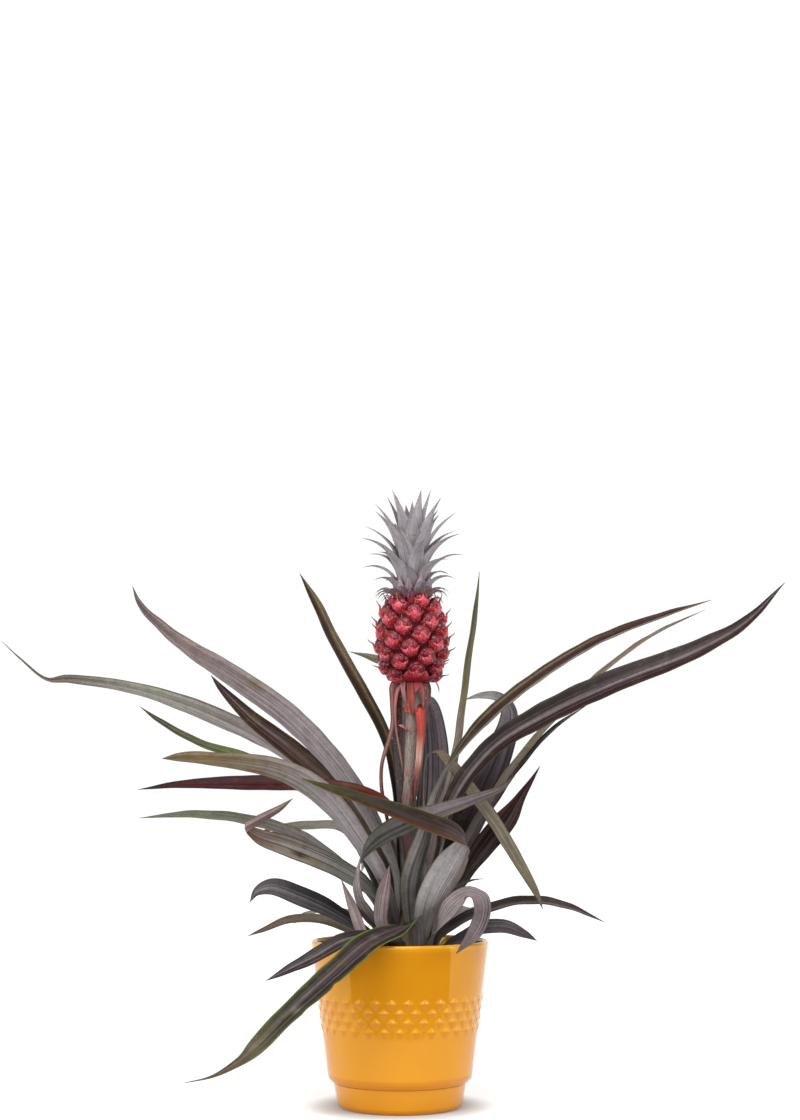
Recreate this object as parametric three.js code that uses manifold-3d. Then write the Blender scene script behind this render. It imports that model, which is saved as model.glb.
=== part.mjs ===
// A red pineapple plant (Ananas) in a glazed yellow cover pot with a band of diamond studs.
// Millimetres, +Z up. The origin is on the pot's axis, on the surface that the pot stands on.
// -Y is the side that the plant is looked at from, +X is to the right.

import * as THREE from "three";
import { mergeVertices } from "three/addons/utils/BufferGeometryUtils.js";
import Module from "manifold-3d";

const wasm = await Module();
wasm.setup();

// Cover pot: glazed ceramic, straight taper, stepped foot.
const POT_HEIGHT = 131;
const POT_RIM_R = 70;
const POT_WALL = 4.5;
const POT_SHOULDER_Z = 24; // where the straight taper ends above the foot
const POT_SHOULDER_R = 56.6;
const POT_SHOULDER_CHAMFER = 1.2;
const POT_GROOVE_Z = 20; // fine groove between body and foot
const POT_GROOVE_R = 52.2;
const POT_GROOVE_GAP = 0.6;
const POT_FOOT_R = 49.6;
const POT_FOOT_ROUND = 4.5;
const POT_LIP_ROUND = 1.6;
const POT_FLOOR = 8;
const POT_FLOOR_ROUND = 2;

// Band of four staggered rows of raised diamonds.
const STUDS_A_ROW = 32;
const STUD_ROWS = 4;
const STUD_ROW_PITCH = 7.3;
const STUD_TOP_ROW_Z = 86;
const STUD_RISE = 1.3;

// Plastic nursery pot that the plant grows in, and its potting mix.
const CLEARANCE = 0.3; // gap between pieces that touch
const INNER_POT_HEIGHT = 114;
const INNER_POT_TOP_R = 59.5;
const INNER_POT_BASE_R = 43;
const INNER_POT_WALL = 1.4;
const INNER_POT_LIP = 2.2;
const INNER_POT_LIP_DEEP = 5;
const POT_SIDES = 32;
const SOIL_TOP = 112;
const SOIL_MOUND = 2; // how far the middle stands above the edge, and the edge dips
const SOIL_EDGE = 6;

// Short woody stem that every leaf of the rosette grows from.
const PLANT_X = 9;
const STUMP_PROFILE = [[13.2, 88], [22, 103], [22, 115], [8, 162], [4.8, 165]]; // [radius, height]
const STUMP_TOP_Z = 165;
const STUMP_SIDES = 20;

// Flower stalk, from the top of the stem to the underside of the fruit.
const STALK_TOP_Z = 334.4;
const STALK_R = 4.6;
const STALK_SIDES = 10;
const COLLAR_X = 7.4; // the collar that the straps below the fruit grow from
const COLLAR_Z = 328;
const COLLAR_TOP_Z = 333.4;
const COLLAR_R = 7.2;
const COLLAR_TOP_R = 8;
const COLLAR_SIDES = 12;

// Fruit and crown.
const FRUIT_X = 9.4;
const FRUIT_BASE_Z = 334.7;
const FRUIT_TOP_Z = 398.5;
const FRUIT_WIDEST_Z = 365;
const FRUIT_R = 25.5;
const FRUIT_ROUND_UP = 46; // half heights of the two ellipses that the fruit's outline follows
const FRUIT_ROUND_DOWN = 40;
const FRUIT_SIDES = 14;
const GOLDEN_ANGLE = 137.508;
const EYES = 47;
const EYE_RISE = 1.3; // height gained from one eye to the next round the spiral
const EYE_FIRST_Z = 337.8;
const EYE_FIRST_ANGLE = -133.7;
const EYE_SMALLEST = 0.78; // size of the eyes at the two ends of the fruit
const EYE_SEAT = 1; // how far an eye's middle is sunk
const CROWN_LEAVES = 44;
const CROWN_FIRST_ANGLE = 20;
const CROWN_BASE_Z = FRUIT_TOP_Z + CLEARANCE;
const CROWN_CORE_TOP_Z = 452;
const CROWN_CORE_R = 13.5;
const CROWN_CORE_NECK_R = 7;
const CROWN_LOWEST = { length: 20, width: 10, lift: 58, droop: 112, reach: 10.5, height: 2.5 };
const CROWN_HIGHEST = { length: 42, width: 12, lift: 86, droop: 8, reach: 2.5, height: 46 };
const CROWN_BULGE = 14; // how much longer the leaves are halfway up
const CROWN_TAPER = [1, 0.88, 0.55, 0.28]; // widths along a crown leaf, before its tip

// Leaf blades: thickness at the edge and how much the middle is thicker.
const EDGE_THICK = 0.7;
const RIB_THICK = 0.035; // more in the middle for each mm of width
const ROOT_THICK = 0.6; // and more at the root
const ROOT_SPANS = 0.67; // spans of the path that the thicker root runs over
const CUP_BALANCE = 0.85; // share of a blade's cup that lies below its path
const NEARBY = 0.02; // step along a path that gives its direction
const TIP_WIDTH = 1.2;
const ROOT_LEAN = 1.6; // how far up a leaf's upper side looks at its root

const object = new THREE.Group();

function finish(colour, roughness, metalness = 0) {
  return new THREE.MeshStandardMaterial({ color: colour, roughness, metalness });
}

const glaze = finish(0xe2a02a, 0.15);
const blackPlastic = finish(0x1c1c1d, 0.5);
const pottingMix = finish(0x3a2a1f, 0.95);
const stemTissue = finish(0x8c8477, 0.7);
const redTissue = finish(0xb8402c, 0.55);
const fruitSkin = finish(0xc02a45, 0.35);
const crownTissue = finish(0x8a8187, 0.7);

function closed(geometry) {
  const plain = geometry.index ? geometry.toNonIndexed() : geometry.clone();
  for (const name of Object.keys(plain.attributes)) {
    if (name !== "position") plain.deleteAttribute(name);
  }
  const merged = mergeVertices(plain, 1e-4);
  const corners = merged.index.array;
  const kept = [];
  for (let i = 0; i < corners.length; i += 3) {
    const [a, b, c] = [corners[i], corners[i + 1], corners[i + 2]];
    if (a !== b && b !== c && c !== a) kept.push(a, b, c);
  }
  merged.setIndex(kept);
  return merged;
}

function solid(geometry) {
  const merged = closed(geometry);
  return new wasm.Manifold(new wasm.Mesh({
    numProp: 3,
    vertProperties: new Float32Array(merged.attributes.position.array),
    triVerts: new Uint32Array(merged.index.array),
  }));
}

function geometryOf(body) {
  const mesh = body.getMesh();
  const geometry = new THREE.BufferGeometry();
  geometry.setAttribute("position", new THREE.BufferAttribute(new Float32Array(mesh.vertProperties), 3));
  geometry.setIndex(Array.from(mesh.triVerts));
  return geometry;
}

function largest(body) {
  const pieces = body.decompose();
  return pieces.reduce((best, piece) => (piece.volume() > best.volume() ? piece : best));
}

function add(name, geometry, material) {
  const mesh = new THREE.Mesh(geometry, material);
  mesh.name = name;
  object.add(mesh);
}

// A solid of revolution about the Z axis from [radius, height] points, run from the bottom
// of the axis round the outside to the top of the axis.
function turned(profile, sides) {
  const points = profile.map(([radius, height]) => new THREE.Vector2(radius, height));
  return new THREE.LatheGeometry(points, sides).rotateX(Math.PI / 2);
}

// Points of a profile round a quarter circle, which starts at the given quarter turn.
function quarterRound(x, z, radius, quarter) {
  return [0, 0.5, 1].map((share) => {
    const angle = ((quarter + share) * Math.PI) / 2;
    return [x + radius * Math.cos(angle), z + radius * Math.sin(angle)];
  });
}

// Cover pot. The studs are raised at every other point of the turned grid, and the quads between
// them are split along the valleys, so that each stud is a four-sided pyramid.
function potGeometry() {
  const taper = (POT_RIM_R - POT_SHOULDER_R) / (POT_HEIGHT - POT_SHOULDER_Z);
  const outside = (z) => POT_RIM_R - (POT_HEIGHT - z) * taper;
  const bandTop = STUD_TOP_ROW_Z + STUD_ROW_PITCH;
  const rows = [];
  for (let k = STUD_ROWS + 1; k >= 0; k -= 1) rows.push(bandTop - k * STUD_ROW_PITCH);
  const inside = (z) => outside(z) - POT_WALL;
  const lipZ = POT_HEIGHT - POT_LIP_ROUND;
  const profile = [
    [0, 0],
    ...quarterRound(POT_FOOT_R - POT_FOOT_ROUND, POT_FOOT_ROUND, POT_FOOT_ROUND, -1),
    [POT_GROOVE_R, POT_GROOVE_Z],
    [POT_SHOULDER_R - POT_SHOULDER_CHAMFER, POT_GROOVE_Z + POT_GROOVE_GAP],
    [POT_SHOULDER_R, POT_SHOULDER_Z],
    ...rows.map((z) => [outside(z), z]),
    ...quarterRound(outside(lipZ) - POT_LIP_ROUND, lipZ, POT_LIP_ROUND, 0),
    ...quarterRound(inside(lipZ) + POT_LIP_ROUND, lipZ, POT_LIP_ROUND, 1),
    [inside(POT_SHOULDER_Z), POT_SHOULDER_Z],
    [POT_GROOVE_R - POT_WALL - POT_FLOOR_ROUND, POT_FLOOR],
    [0, POT_FLOOR],
  ];
  const sides = 2 * STUDS_A_ROW;
  const firstRow = profile.findIndex(([, z]) => z === rows[0]);
  const lastRow = firstRow + STUD_ROWS + 1;
  const geometry = turned(profile, sides);
  const position = geometry.attributes.position;
  const corner = (column, ring) => (column % sides) * profile.length + ring;
  for (let column = 0; column < sides; column += 1) {
    for (let ring = firstRow + 1; ring < lastRow; ring += 1) {
      if ((column + ring) % 2 === 0) continue;
      const at = corner(column, ring);
      const x = position.getX(at);
      const y = position.getY(at);
      const grow = 1 + STUD_RISE / Math.hypot(x, y);
      position.setXY(at, x * grow, y * grow);
    }
  }
  const faces = [];
  for (let column = 0; column < sides; column += 1) {
    for (let ring = 0; ring < profile.length - 1; ring += 1) {
      const a = corner(column, ring);
      const b = corner(column + 1, ring);
      const c = corner(column + 1, ring + 1);
      const d = corner(column, ring + 1);
      const studRing = ring >= firstRow && ring < lastRow;
      if (studRing && (column + ring) % 2 === 0) faces.push(a, b, c, a, c, d);
      else faces.push(a, b, d, c, d, b);
    }
  }
  geometry.setIndex(faces);
  return closed(geometry);
}

add("cover_pot", potGeometry(), glaze);

// Nursery pot, standing on the floor of the cover pot.
const INNER_POT_Z = POT_FLOOR + CLEARANCE;
const INNER_POT_TOP = INNER_POT_Z + INNER_POT_HEIGHT;
const INNER_POT_LIP_Z = INNER_POT_TOP - INNER_POT_LIP_DEEP;

function innerPotRadius(z) {
  const share = (z - INNER_POT_Z) / INNER_POT_HEIGHT;
  return INNER_POT_BASE_R + (INNER_POT_TOP_R - INNER_POT_BASE_R) * share;
}

const innerPotProfile = [
  [0, INNER_POT_Z],
  [INNER_POT_BASE_R, INNER_POT_Z],
  [innerPotRadius(INNER_POT_LIP_Z), INNER_POT_LIP_Z],
  [INNER_POT_TOP_R + INNER_POT_LIP, INNER_POT_LIP_Z],
  [INNER_POT_TOP_R + INNER_POT_LIP, INNER_POT_TOP],
  [INNER_POT_TOP_R - INNER_POT_WALL, INNER_POT_TOP],
  [INNER_POT_BASE_R - INNER_POT_WALL, INNER_POT_Z + INNER_POT_WALL],
  [0, INNER_POT_Z + INNER_POT_WALL],
];
add("nursery_pot", closed(turned(innerPotProfile, POT_SIDES)), blackPlastic);

// Stem base, a squat cone that is wide at the soil and narrow at the flower stalk.
function stumpSolid(extra) {
  const wall = STUMP_PROFILE.map(([radius, z]) => [radius + extra, z]);
  const footZ = wall[0][1] - extra;
  wall[0][1] = footZ;
  const profile = [[0, footZ], ...wall, [0, STUMP_TOP_Z + extra]];
  return solid(turned(profile, STUMP_SIDES)).translate([PLANT_X, 0, 0]);
}

add("stem_base", geometryOf(stumpSolid(0)), stemTissue);
const stumpRoom = stumpSolid(CLEARANCE);

// Potting mix, with a plain hole where the stem stands.
const soilLow = INNER_POT_Z + INNER_POT_WALL + CLEARANCE;
const soilGap = INNER_POT_WALL + CLEARANCE;
const soilProfile = [
  [0, soilLow],
  [innerPotRadius(soilLow) - soilGap, soilLow],
  [innerPotRadius(SOIL_TOP - SOIL_MOUND) - soilGap, SOIL_TOP - SOIL_MOUND],
  [innerPotRadius(SOIL_TOP) - soilGap - SOIL_EDGE, SOIL_TOP],
  [0, SOIL_TOP + SOIL_MOUND],
];
const soil = solid(turned(soilProfile, POT_SIDES)).subtract(stumpRoom);
add("potting_mix", geometryOf(soil), pottingMix);

// A smooth curve through points of any number of values, spaced by the distance between their
// first three. Returns the point at a place from 0 to the number of spans.
function through(points, place) {
  const last = points.length - 1;
  const span = Math.min(Math.floor(place), last - 1);
  const t = place - span;
  const mirrored = (a, b) => a.map((v, i) => 2 * v - b[i]);
  const p0 = span > 0 ? points[span - 1] : mirrored(points[0], points[1]);
  const p1 = points[span];
  const p2 = points[span + 1];
  const p3 = span + 2 <= last ? points[span + 2] : mirrored(points[last], points[last - 1]);
  const gap = (a, b) => Math.sqrt(Math.hypot(a[0] - b[0], a[1] - b[1], a[2] - b[2]));
  const [d0, d1, d2] = [gap(p0, p1), gap(p1, p2), gap(p2, p3)];
  return p1.map((v, i) => {
    const start = d1 * ((v - p0[i]) / d0 - (p2[i] - p0[i]) / (d0 + d1) + (p2[i] - v) / d1);
    const end = d1 * ((p2[i] - v) / d1 - (p3[i] - v) / (d1 + d2) + (p3[i] - p2[i]) / d2);
    const rise = p2[i] - v;
    return v + start * t + (3 * rise - 2 * start - end) * t * t + (start + end - 2 * rise) * t * t * t;
  });
}

// A leaf blade. Each point of its path is [x, y, z, width], from root to tip. faces are the ways
// that its upper side looks, spaced evenly from root to tip, and cup is how far its edges rise
// towards that side, as a share of the width. Across, a blade is a shallow V with blunt edges,
// or a slim one with sharp edges. Both of its faces are split into triangles the same way.
const BLUNT_SECTION = [[-1, 1], [0, 1], [1, 1], [1, -1], [0, -1], [-1, -1]];
const SHARP_SECTION = [[-1, 0], [0, 1], [1, 0], [0, -1]];

function bladeGeometry({ path, faces, cup = 0.13, steps = 2, section = BLUNT_SECTION }) {
  const spans = path.length - 1;
  const rings = spans * steps + 1;
  const corners = section.length;
  const ways = faces.map((way) => new THREE.Vector3(...way).normalize());
  const vertices = [];
  for (let ring = 0; ring < rings; ring += 1) {
    const place = ring / steps;
    const [x, y, z, wide] = through(path, place);
    const width = Math.max(wide, TIP_WIDTH);
    const ahead = through(path, Math.min(place + NEARBY, spans));
    const behind = through(path, Math.max(place - NEARBY, 0));
    const along = new THREE.Vector3(ahead[0] - behind[0], ahead[1] - behind[1], ahead[2] - behind[2]);
    along.normalize();
    const turn = (place / spans) * (ways.length - 1);
    const from = Math.min(Math.floor(turn), ways.length - 2);
    const face = ways[from].clone().lerp(ways[from + 1], turn - from);
    face.addScaledVector(along, -face.dot(along)).normalize();
    const across = new THREE.Vector3().crossVectors(along, face);
    const rootShare = Math.max(0, 1 - place / ROOT_SPANS);
    const middle = EDGE_THICK + RIB_THICK * width + ROOT_THICK * rootShare;
    for (const [side, level] of section) {
      const corner = new THREE.Vector3(x, y, z);
      corner.addScaledVector(across, (side * width) / 2);
      const thick = side === 0 ? middle : EDGE_THICK;
      const rise = cup * width * (side * side - CUP_BALANCE);
      corner.addScaledVector(face, rise + (level * thick) / 2);
      vertices.push(corner.x, corner.y, corner.z);
    }
  }
  const triangles = [];
  for (let ring = 0; ring < rings - 1; ring += 1) {
    for (let k = 0; k < corners; k += 1) {
      const a = ring * corners + k;
      const b = ring * corners + ((k + 1) % corners);
      const [c, d] = [b + corners, a + corners];
      if (k < corners / 2) triangles.push(a, b, c, a, c, d);
      else triangles.push(a, b, d, b, c, d);
    }
  }
  const end = (rings - 1) * corners;
  for (let k = 2; k < corners; k += 1) {
    const after = (k + 1) % corners;
    triangles.push(1, after, k, end + 1, end + k, end + after);
  }
  const geometry = new THREE.BufferGeometry();
  geometry.setAttribute("position", new THREE.Float32BufferAttribute(vertices, 3));
  geometry.setIndex(triangles);
  return geometry;
}

// Every leaf's upper side looks at the plant's axis where it leaves the stem.
function rosetteLeaf(name, colour, path, ways, cup) {
  const [x, y] = path[0];
  const inward = [PLANT_X - x, -y, ROOT_LEAN];
  const blade = solid(bladeGeometry({ path, faces: [inward, ...ways], cup }));
  add(name, geometryOf(largest(blade.subtract(stumpRoom))), finish(colour, 0.55));
}

const SILVER = 0x8e8488;
const SLATE = 0x4f4848;
const DARK = 0x3f2c2b;
const MAROON = 0x56302c;
const OLIVE = 0x6b6a48;
const MAUVE = 0x8b7678;

// Long leaves to the left, from the highest to the lowest.
rosetteLeaf("leaf_left_high", SILVER, [
  [-1, -1, 147, 14], [-3, -12, 185, 19], [-16, -16, 215, 22], [-42, -20, 258.8, 25], [-84, -20, 304, 25],
  [-131, -16, 338, 22], [-174.6, -10, 366.8, 14], [-204, -5, 394.6, 6], [-210, -4, 409, 1.2],
], [[2, 3, 2], [2, 3, 2]]);
rosetteLeaf("leaf_left_far", SILVER, [
  [0, 9, 140, 13], [-13, 22, 187, 18], [-48, 34, 239.5, 28], [-97, 42, 281.5, 29], [-146, 48, 307.4, 24],
  [-212, 54, 331, 14], [-270, 58, 340, 9], [-289, 60, 340, 4], [-311, 60, 357, 2], [-326, 60, 371, 1.2],
], [[3, 6, 6], [2, 6, 6]]);
rosetteLeaf("leaf_left_dark", DARK, [
  [-2, 3, 141, 13], [-13, 8, 200, 16], [-42, 12, 242.5, 18.5], [-85.5, 13, 281, 18.5],
  [-118.5, 13, 306.5, 14], [-142, 12, 330, 6], [-150, 12, 340, 1.2],
], [[4, -8, 4], [4, -8, 4]]);
rosetteLeaf("leaf_left_green", OLIVE, [
  [-5, 2, 133, 10], [-25, 15, 187, 12], [-65, 50, 249, 13], [-129, 84, 277, 12], [-167, 90, 289, 9],
  [-200, 90, 307, 6], [-217, 90, 319, 1.2],
], [[2, -6, 7], [2, -6, 7]]);
rosetteLeaf("leaf_left_silver", SILVER, [
  [-2, -5, 139, 14], [-11, -34, 176, 19], [-34.8, -42, 216.4, 25], [-60, -50, 246, 27],
  [-90, -58, 263.4, 23], [-135, -66, 271.2, 15], [-165, -68, 273, 10], [-179, -68, 272, 1.5],
], [[4, 6, 4], [1, 6, 8]]);
rosetteLeaf("leaf_left_maroon", MAROON, [
  [2, -4, 152, 8], [1, -19, 211, 11], [-6, -28, 233, 12], [-22, -34, 245, 12.5], [-62, -34, 252.6, 15],
  [-116, -33, 254.2, 16], [-170, -31, 253, 8], [-202, -30, 249, 1.2],
], [[6, -5, 4], [0, -7, 7], [0, -7, 7]]);
rosetteLeaf("leaf_left_folded", OLIVE, [
  [-3, -7, 134, 12], [-19, -36, 169, 18], [-46, -44, 188.6, 19.5], [-83, -47, 204.6, 19.5],
  [-109.5, -47, 214, 15.5], [-116.5, -51, 219.5, 9], [-109.5, -57, 224.5, 7.5], [-92, -59, 234, 5],
  [-81, -60, 242, 1.2],
], [[2, -6, 6], [0, -7, 6], [7, -2, 3], [0, 7, -2], [0, 7, -2]]);
rosetteLeaf("leaf_left_pale", SILVER, [
  [-6, -4, 130, 12], [-22, -19, 166, 16], [-54, -21, 198, 16], [-85, -22, 216, 14.5],
  [-120, -22, 226.2, 12.5], [-162, -22, 230, 9.5], [-202, -22, 227, 1.2],
], [[2, -6, 7], [0, -5, 8]]);
rosetteLeaf("leaf_left_behind", OLIVE, [
  [-4, 7, 130, 11], [-24, 52, 191, 14], [-46, 80, 218, 18], [-76, 100, 220, 16], [-101, 108, 218, 10],
  [-117, 110, 215, 1.5],
], [[2, -5, 8], [0, -5, 8]]);
rosetteLeaf("leaf_low_left_curl", SLATE, [
  [-8, -5, 120, 12], [-25, -22, 138, 18], [-50, -30, 154.6, 19.5], [-76, -36, 167, 19.5],
  [-98.5, -40, 174.4, 14.5], [-109.5, -41, 171, 8], [-115, -41, 162.5, 1.5],
], [[3, -7, 6], [-7, -7, 2]]);
rosetteLeaf("leaf_low_left_tan", OLIVE, [
  [-8, 5, 120, 12], [-36, 16, 136, 13], [-60, 20, 145.6, 12], [-88, 24, 145.6, 11], [-110, 26, 137, 6],
  [-122, 26, 132, 1.2],
], [[0, -5, 8], [-5, -5, 7]]);
rosetteLeaf("leaf_low_left_dark", DARK, [
  [-4, -11, 124, 9], [-22, -50.4, 138, 14], [-42, -63, 135.8, 15], [-63, -72, 124.6, 14],
  [-82, -76, 115, 9], [-100, -79, 106, 1.2],
], [[-2, -7, 7], [-3, -7, 6]]);

// Leaves at the front, over the rim and across the middle.
rosetteLeaf("leaf_drooping", DARK, [
  [14, -17, 121, 12], [11, -35, 147, 17], [-3, -55, 143.4, 22], [-24, -75, 134.6, 25],
  [-51, -92, 111.8, 23.5], [-81, -103, 85, 20], [-105, -110, 61, 17], [-117, -112, 50, 9],
  [-137, -114, 39.6, 2.5], [-157, -115, 35, 1.2],
], [[-2, -6, 8], [-5, -7, 5], [-5, -7, 5], [-5, -7, 5]]);
rosetteLeaf("leaf_front_folded", SILVER, [
  [16, -12, 130, 13], [23, -40, 164, 22], [37, -46, 189, 24], [47, -52, 203, 18], [51, -60, 209, 14],
  [40, -68, 217, 15], [11, -72, 228, 15], [-23, -72, 240, 12], [-53, -71, 250, 7], [-74, -70, 257, 1.2],
], [[0, 9, 1], [9, 5, 0], [2, -9, 3], [2, -7, 6], [2, -7, 6]]);
rosetteLeaf("leaf_front_arc", OLIVE, [
  [0, -13, 128, 11], [-24, -36, 153, 14], [-32, -57, 173, 11], [-31, -60, 190, 10], [-20, -59, 209, 13],
  [4, -58, 224, 16], [31, -57, 233, 14], [57, -56, 242, 10], [77, -55, 250, 6], [87, -54, 259, 1.2],
], [[5, 8, 0], [9, 1, 0], [2, -9, 0], [-3, -8, 5], [-3, -7, 6], [-3, -7, 6]]);
rosetteLeaf("leaf_front_left_shoot", MAUVE, [
  [0, -15, 120, 9], [-17, -34, 124, 9], [-29, -40, 140, 9], [-36, -40, 158, 8], [-45, -39, 180, 1.2],
], [[3, 9, 2], [3, 9, 2]]);
rosetteLeaf("leaf_front_shoot", MAUVE, [
  [3, -15, 125, 8], [-5, -32, 134, 9], [-14, -41, 146, 10], [-14, -49, 163, 11], [-11, -51, 178, 8],
  [-8, -51, 191, 1.2],
], [[1, 9, 2], [1, 9, 2]]);

// Narrow leaves beside and behind the flower stalk.
rosetteLeaf("leaf_stalk_left", DARK, [
  [1, 3, 152, 8], [-2, 16, 241, 11], [-10.6, 20, 289.5, 12], [-29, 26, 326.5, 11.5], [-52, 32, 368, 10.5],
  [-68, 36, 401, 8], [-81, 38, 424, 1.2],
], [[5, -9, 2], [5, -9, 2]]);
rosetteLeaf("leaf_stalk_right", OLIVE, [
  [14, 6, 151, 8], [29, 26, 221, 12], [41.2, 32, 261, 12], [49.6, 42, 310, 12.5], [55.6, 50, 355, 11.5],
  [61.2, 56, 392, 8.5], [65, 60, 428, 1.2],
], [[-9, -4, 2], [-9, -4, 2]]);
rosetteLeaf("leaf_behind_small", OLIVE, [
  [8, 10, 152, 7], [9, 26, 240, 8], [3, 38, 322, 9], [-10, 46, 351, 9], [-23, 50, 357, 8],
  [-42, 52, 362, 1.2],
], [[0, -9, 3], [0, -4, 9]]);
rosetteLeaf("leaf_over_stalk", OLIVE, [
  [17, -4, 150, 6], [19, 2, 205, 7], [18, 8, 246, 6], [19, 9, 267, 5], [22, 9, 277, 5],
  [30, 10, 279, 6], [40, 10, 270, 10], [54, 2, 252, 14], [75.4, -8, 222, 14.5], [93.4, -14, 191, 12],
  [105, -16, 171, 7.5], [111, -18, 156, 1.2],
], [[-9, 0, 1], [-9, -2, 4], [3, -6, 7], [5, -7, 5], [5, -7, 5]]);

// Long leaves to the right.
rosetteLeaf("leaf_right_high", DARK, [
  [10, -11, 144, 14], [9, -22, 179, 19], [19, -18, 214, 20], [34.2, -10, 262.6, 19],
  [65.6, -8, 303.4, 18.5], [110, -8, 339.4, 17.5], [156, -10, 366.8, 14.5], [203, -12, 384.8, 9.5],
[243, -14, 397, 1.2], ], [[-5, 6, 5], [-6, -5, 6], [-5, -5, 7], [-4, -5, 8]]);
rosetteLeaf("leaf_right_far", MAROON, [
  [19, -8, 139, 14], [28, -26, 193, 19], [40, -24, 241, 22], [70.4, -26, 281.4, 22.5],
  [112.4, -30, 308, 24.5], [161.4, -36, 331, 24.5], [222.4, -40, 354.4, 19.5], [264, -42, 377, 10.5],
[294, -44, 407, 1.2], ], [[-7, -5, 3], [-5, -7, 5], [-3, -7, 6], [-3, -7, 6]]);
rosetteLeaf("leaf_right_behind_high", OLIVE, [
  [20, 4, 141, 10], [43, 14, 192, 13], [71, 20, 241, 13], [106, 40, 287, 12], [158, 62, 340, 11],
  [207, 76, 377, 8], [253, 80, 399, 1.2],
], [[-5, -3, 8], [-5, -3, 8]]);
rosetteLeaf("leaf_right_behind_low", DARK, [
  [19, 7.8, 139, 10], [50, 30, 197, 12], [73, 38, 236, 11], [98.2, 44, 271, 9], [124, 48, 299, 7],
  [153, 50, 319, 1.2],
], [[-5, -4, 7], [-5, -4, 7]]);
rosetteLeaf("leaf_right_broad", SLATE, [
  [13, 13, 136, 12], [37, 44, 191, 22], [55, 54, 229, 28], [75.6, 60, 268, 26], [88.4, 64, 301.4, 17.5],
  [88.6, 64, 316.6, 12], [80, 63, 325.8, 8], [66.6, 62, 326.8, 5], [53, 62, 323.4, 1.5],
], [[-3, -9, 2], [-1, -9, 1], [-1, -9, 1]]);
rosetteLeaf("leaf_back_rounded", SLATE, [
  [8, 11, 142, 13], [19, 34, 201, 24], [26.4, 42, 241, 26], [27.4, 48, 282, 24], [24.6, 54, 310, 19.5],
  [20.8, 66, 323, 16], [17, 84, 325.4, 11], [14, 104, 318, 1.5],
], [[0, -9, 1], [0, -9, 2], [0, -6, 8], [0, 3, 9]]);
rosetteLeaf("leaf_right_dark", DARK, [
  [23, 2, 133, 11], [43, 2, 170, 20], [65, 5, 202.6, 24], [84.6, 8, 226.4, 20.5], [94, 10, 241, 10.5],
  [102.6, 10, 254.2, 5], [111, 10, 268, 1.2],
], [[-5, -8, 3], [-5, -8, 3]]);
rosetteLeaf("leaf_right_curled", MAUVE, [
  [20, -13, 123, 12], [27, -40, 143, 17], [40, -50, 162, 20], [51.4, -53, 170.4, 17.5],
  [60.4, -60, 167.8, 15], [61.6, -67, 155, 14], [56, -72, 142, 12], [42, -76, 126, 1.5],
], [[-5, -6, 4], [0, -3, 9], [5, -8, 2], [4, -8, 2]]);
rosetteLeaf("leaf_right_whisker", DARK, [
  [24, -5, 128, 6], [33, -18, 167, 9], [48, -20, 176, 6], [57, -22, 179, 2.5], [65, -23, 180, 1.2],
], [[0, -4, 9], [0, -4, 9]]);
rosetteLeaf("leaf_low_right_far", DARK, [
  [26, 4, 121, 12], [32, 6, 135, 13], [61, 2, 153, 14], [102, -8, 163, 13], [132, -15, 158, 9],
  [159, -20, 146, 1.2],
], [[0, -5, 9], [3, -5, 8]]);
rosetteLeaf("leaf_low_right_dark", SLATE, [
  [26, -8, 119, 12], [38, -24, 130, 15], [58, -37, 141.6, 17], [79, -46, 144.6, 15], [95, -50, 138.8, 8],
  [104, -52, 134, 1.2],
], [[1, -7, 8], [4, -7, 6]]);

// Leaves at the back.
rosetteLeaf("leaf_back_low", SLATE, [
  [8, 18, 120, 13], [8, 46, 146, 17], [6, 90, 160, 20], [4, 130, 158, 18], [2, 170, 144, 11],
  [0, 198, 124, 1.2],
], [[0, -3, 9], [0, 5, 8]]);
rosetteLeaf("leaf_back_left_low", DARK, [
  [-4, 12, 121, 12], [-14, 34, 144, 15], [-38, 66, 148, 17], [-62, 96, 150, 15], [-80, 120, 144, 9],
  [-91, 136, 135, 1.2],
], [[1, -2, 9], [-3, 4, 8]]);
rosetteLeaf("leaf_back_right_low", OLIVE, [
  [21, 14, 120, 12], [31, 34, 140, 15], [48, 64, 151, 18], [61, 96, 152, 15], [69, 126, 143, 9],
  [73, 146, 132, 1.2],
], [[-1, -2, 9], [2, 4, 8]]);
rosetteLeaf("leaf_back_left_high", DARK, [
  [3, 12, 134, 13], [0, 34, 172, 18], [-8, 66, 204, 20], [-16, 104, 214, 19], [-26, 146, 202, 13],
  [-34, 180, 178, 1.2],
], [[0, -4, 9], [0, 5, 8]]);
rosetteLeaf("leaf_back_right_high", OLIVE, [
  [16, 15, 127, 12], [22, 42, 160, 17], [36, 80, 202, 20], [50, 112, 228, 18], [64, 146, 234, 12],
  [74, 178, 222, 1.2],
], [[-3, -6, 7], [-1, 1, 9]]);

// Flower stalk, a slightly bent round stem.
const stalkLine = new THREE.CatmullRomCurve3([
  new THREE.Vector3(PLANT_X, 0, 162),
  new THREE.Vector3(4.6, 0, 205),
  new THREE.Vector3(5.6, 0, 245),
  new THREE.Vector3(6.8, 0, 290),
  new THREE.Vector3(7.6, 0, STALK_TOP_Z),
]);

function roundSection(radius, sides) {
  const corners = [];
  for (let i = 0; i < sides; i += 1) {
    const angle = (i / sides) * 2 * Math.PI;
    corners.push(new THREE.Vector2(radius * Math.cos(angle), radius * Math.sin(angle)));
  }
  return new THREE.Shape(corners);
}

// All the room above a height.
function above(z) {
  const side = 400;
  return solid(new THREE.BoxGeometry(side, side, side).translate(0, 0, z + side / 2));
}

function stalkSolid(radius) {
  return solid(new THREE.ExtrudeGeometry(roundSection(radius, STALK_SIDES), {
    steps: 12,
    extrudePath: stalkLine,
    bevelEnabled: false,
  }));
}

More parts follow.
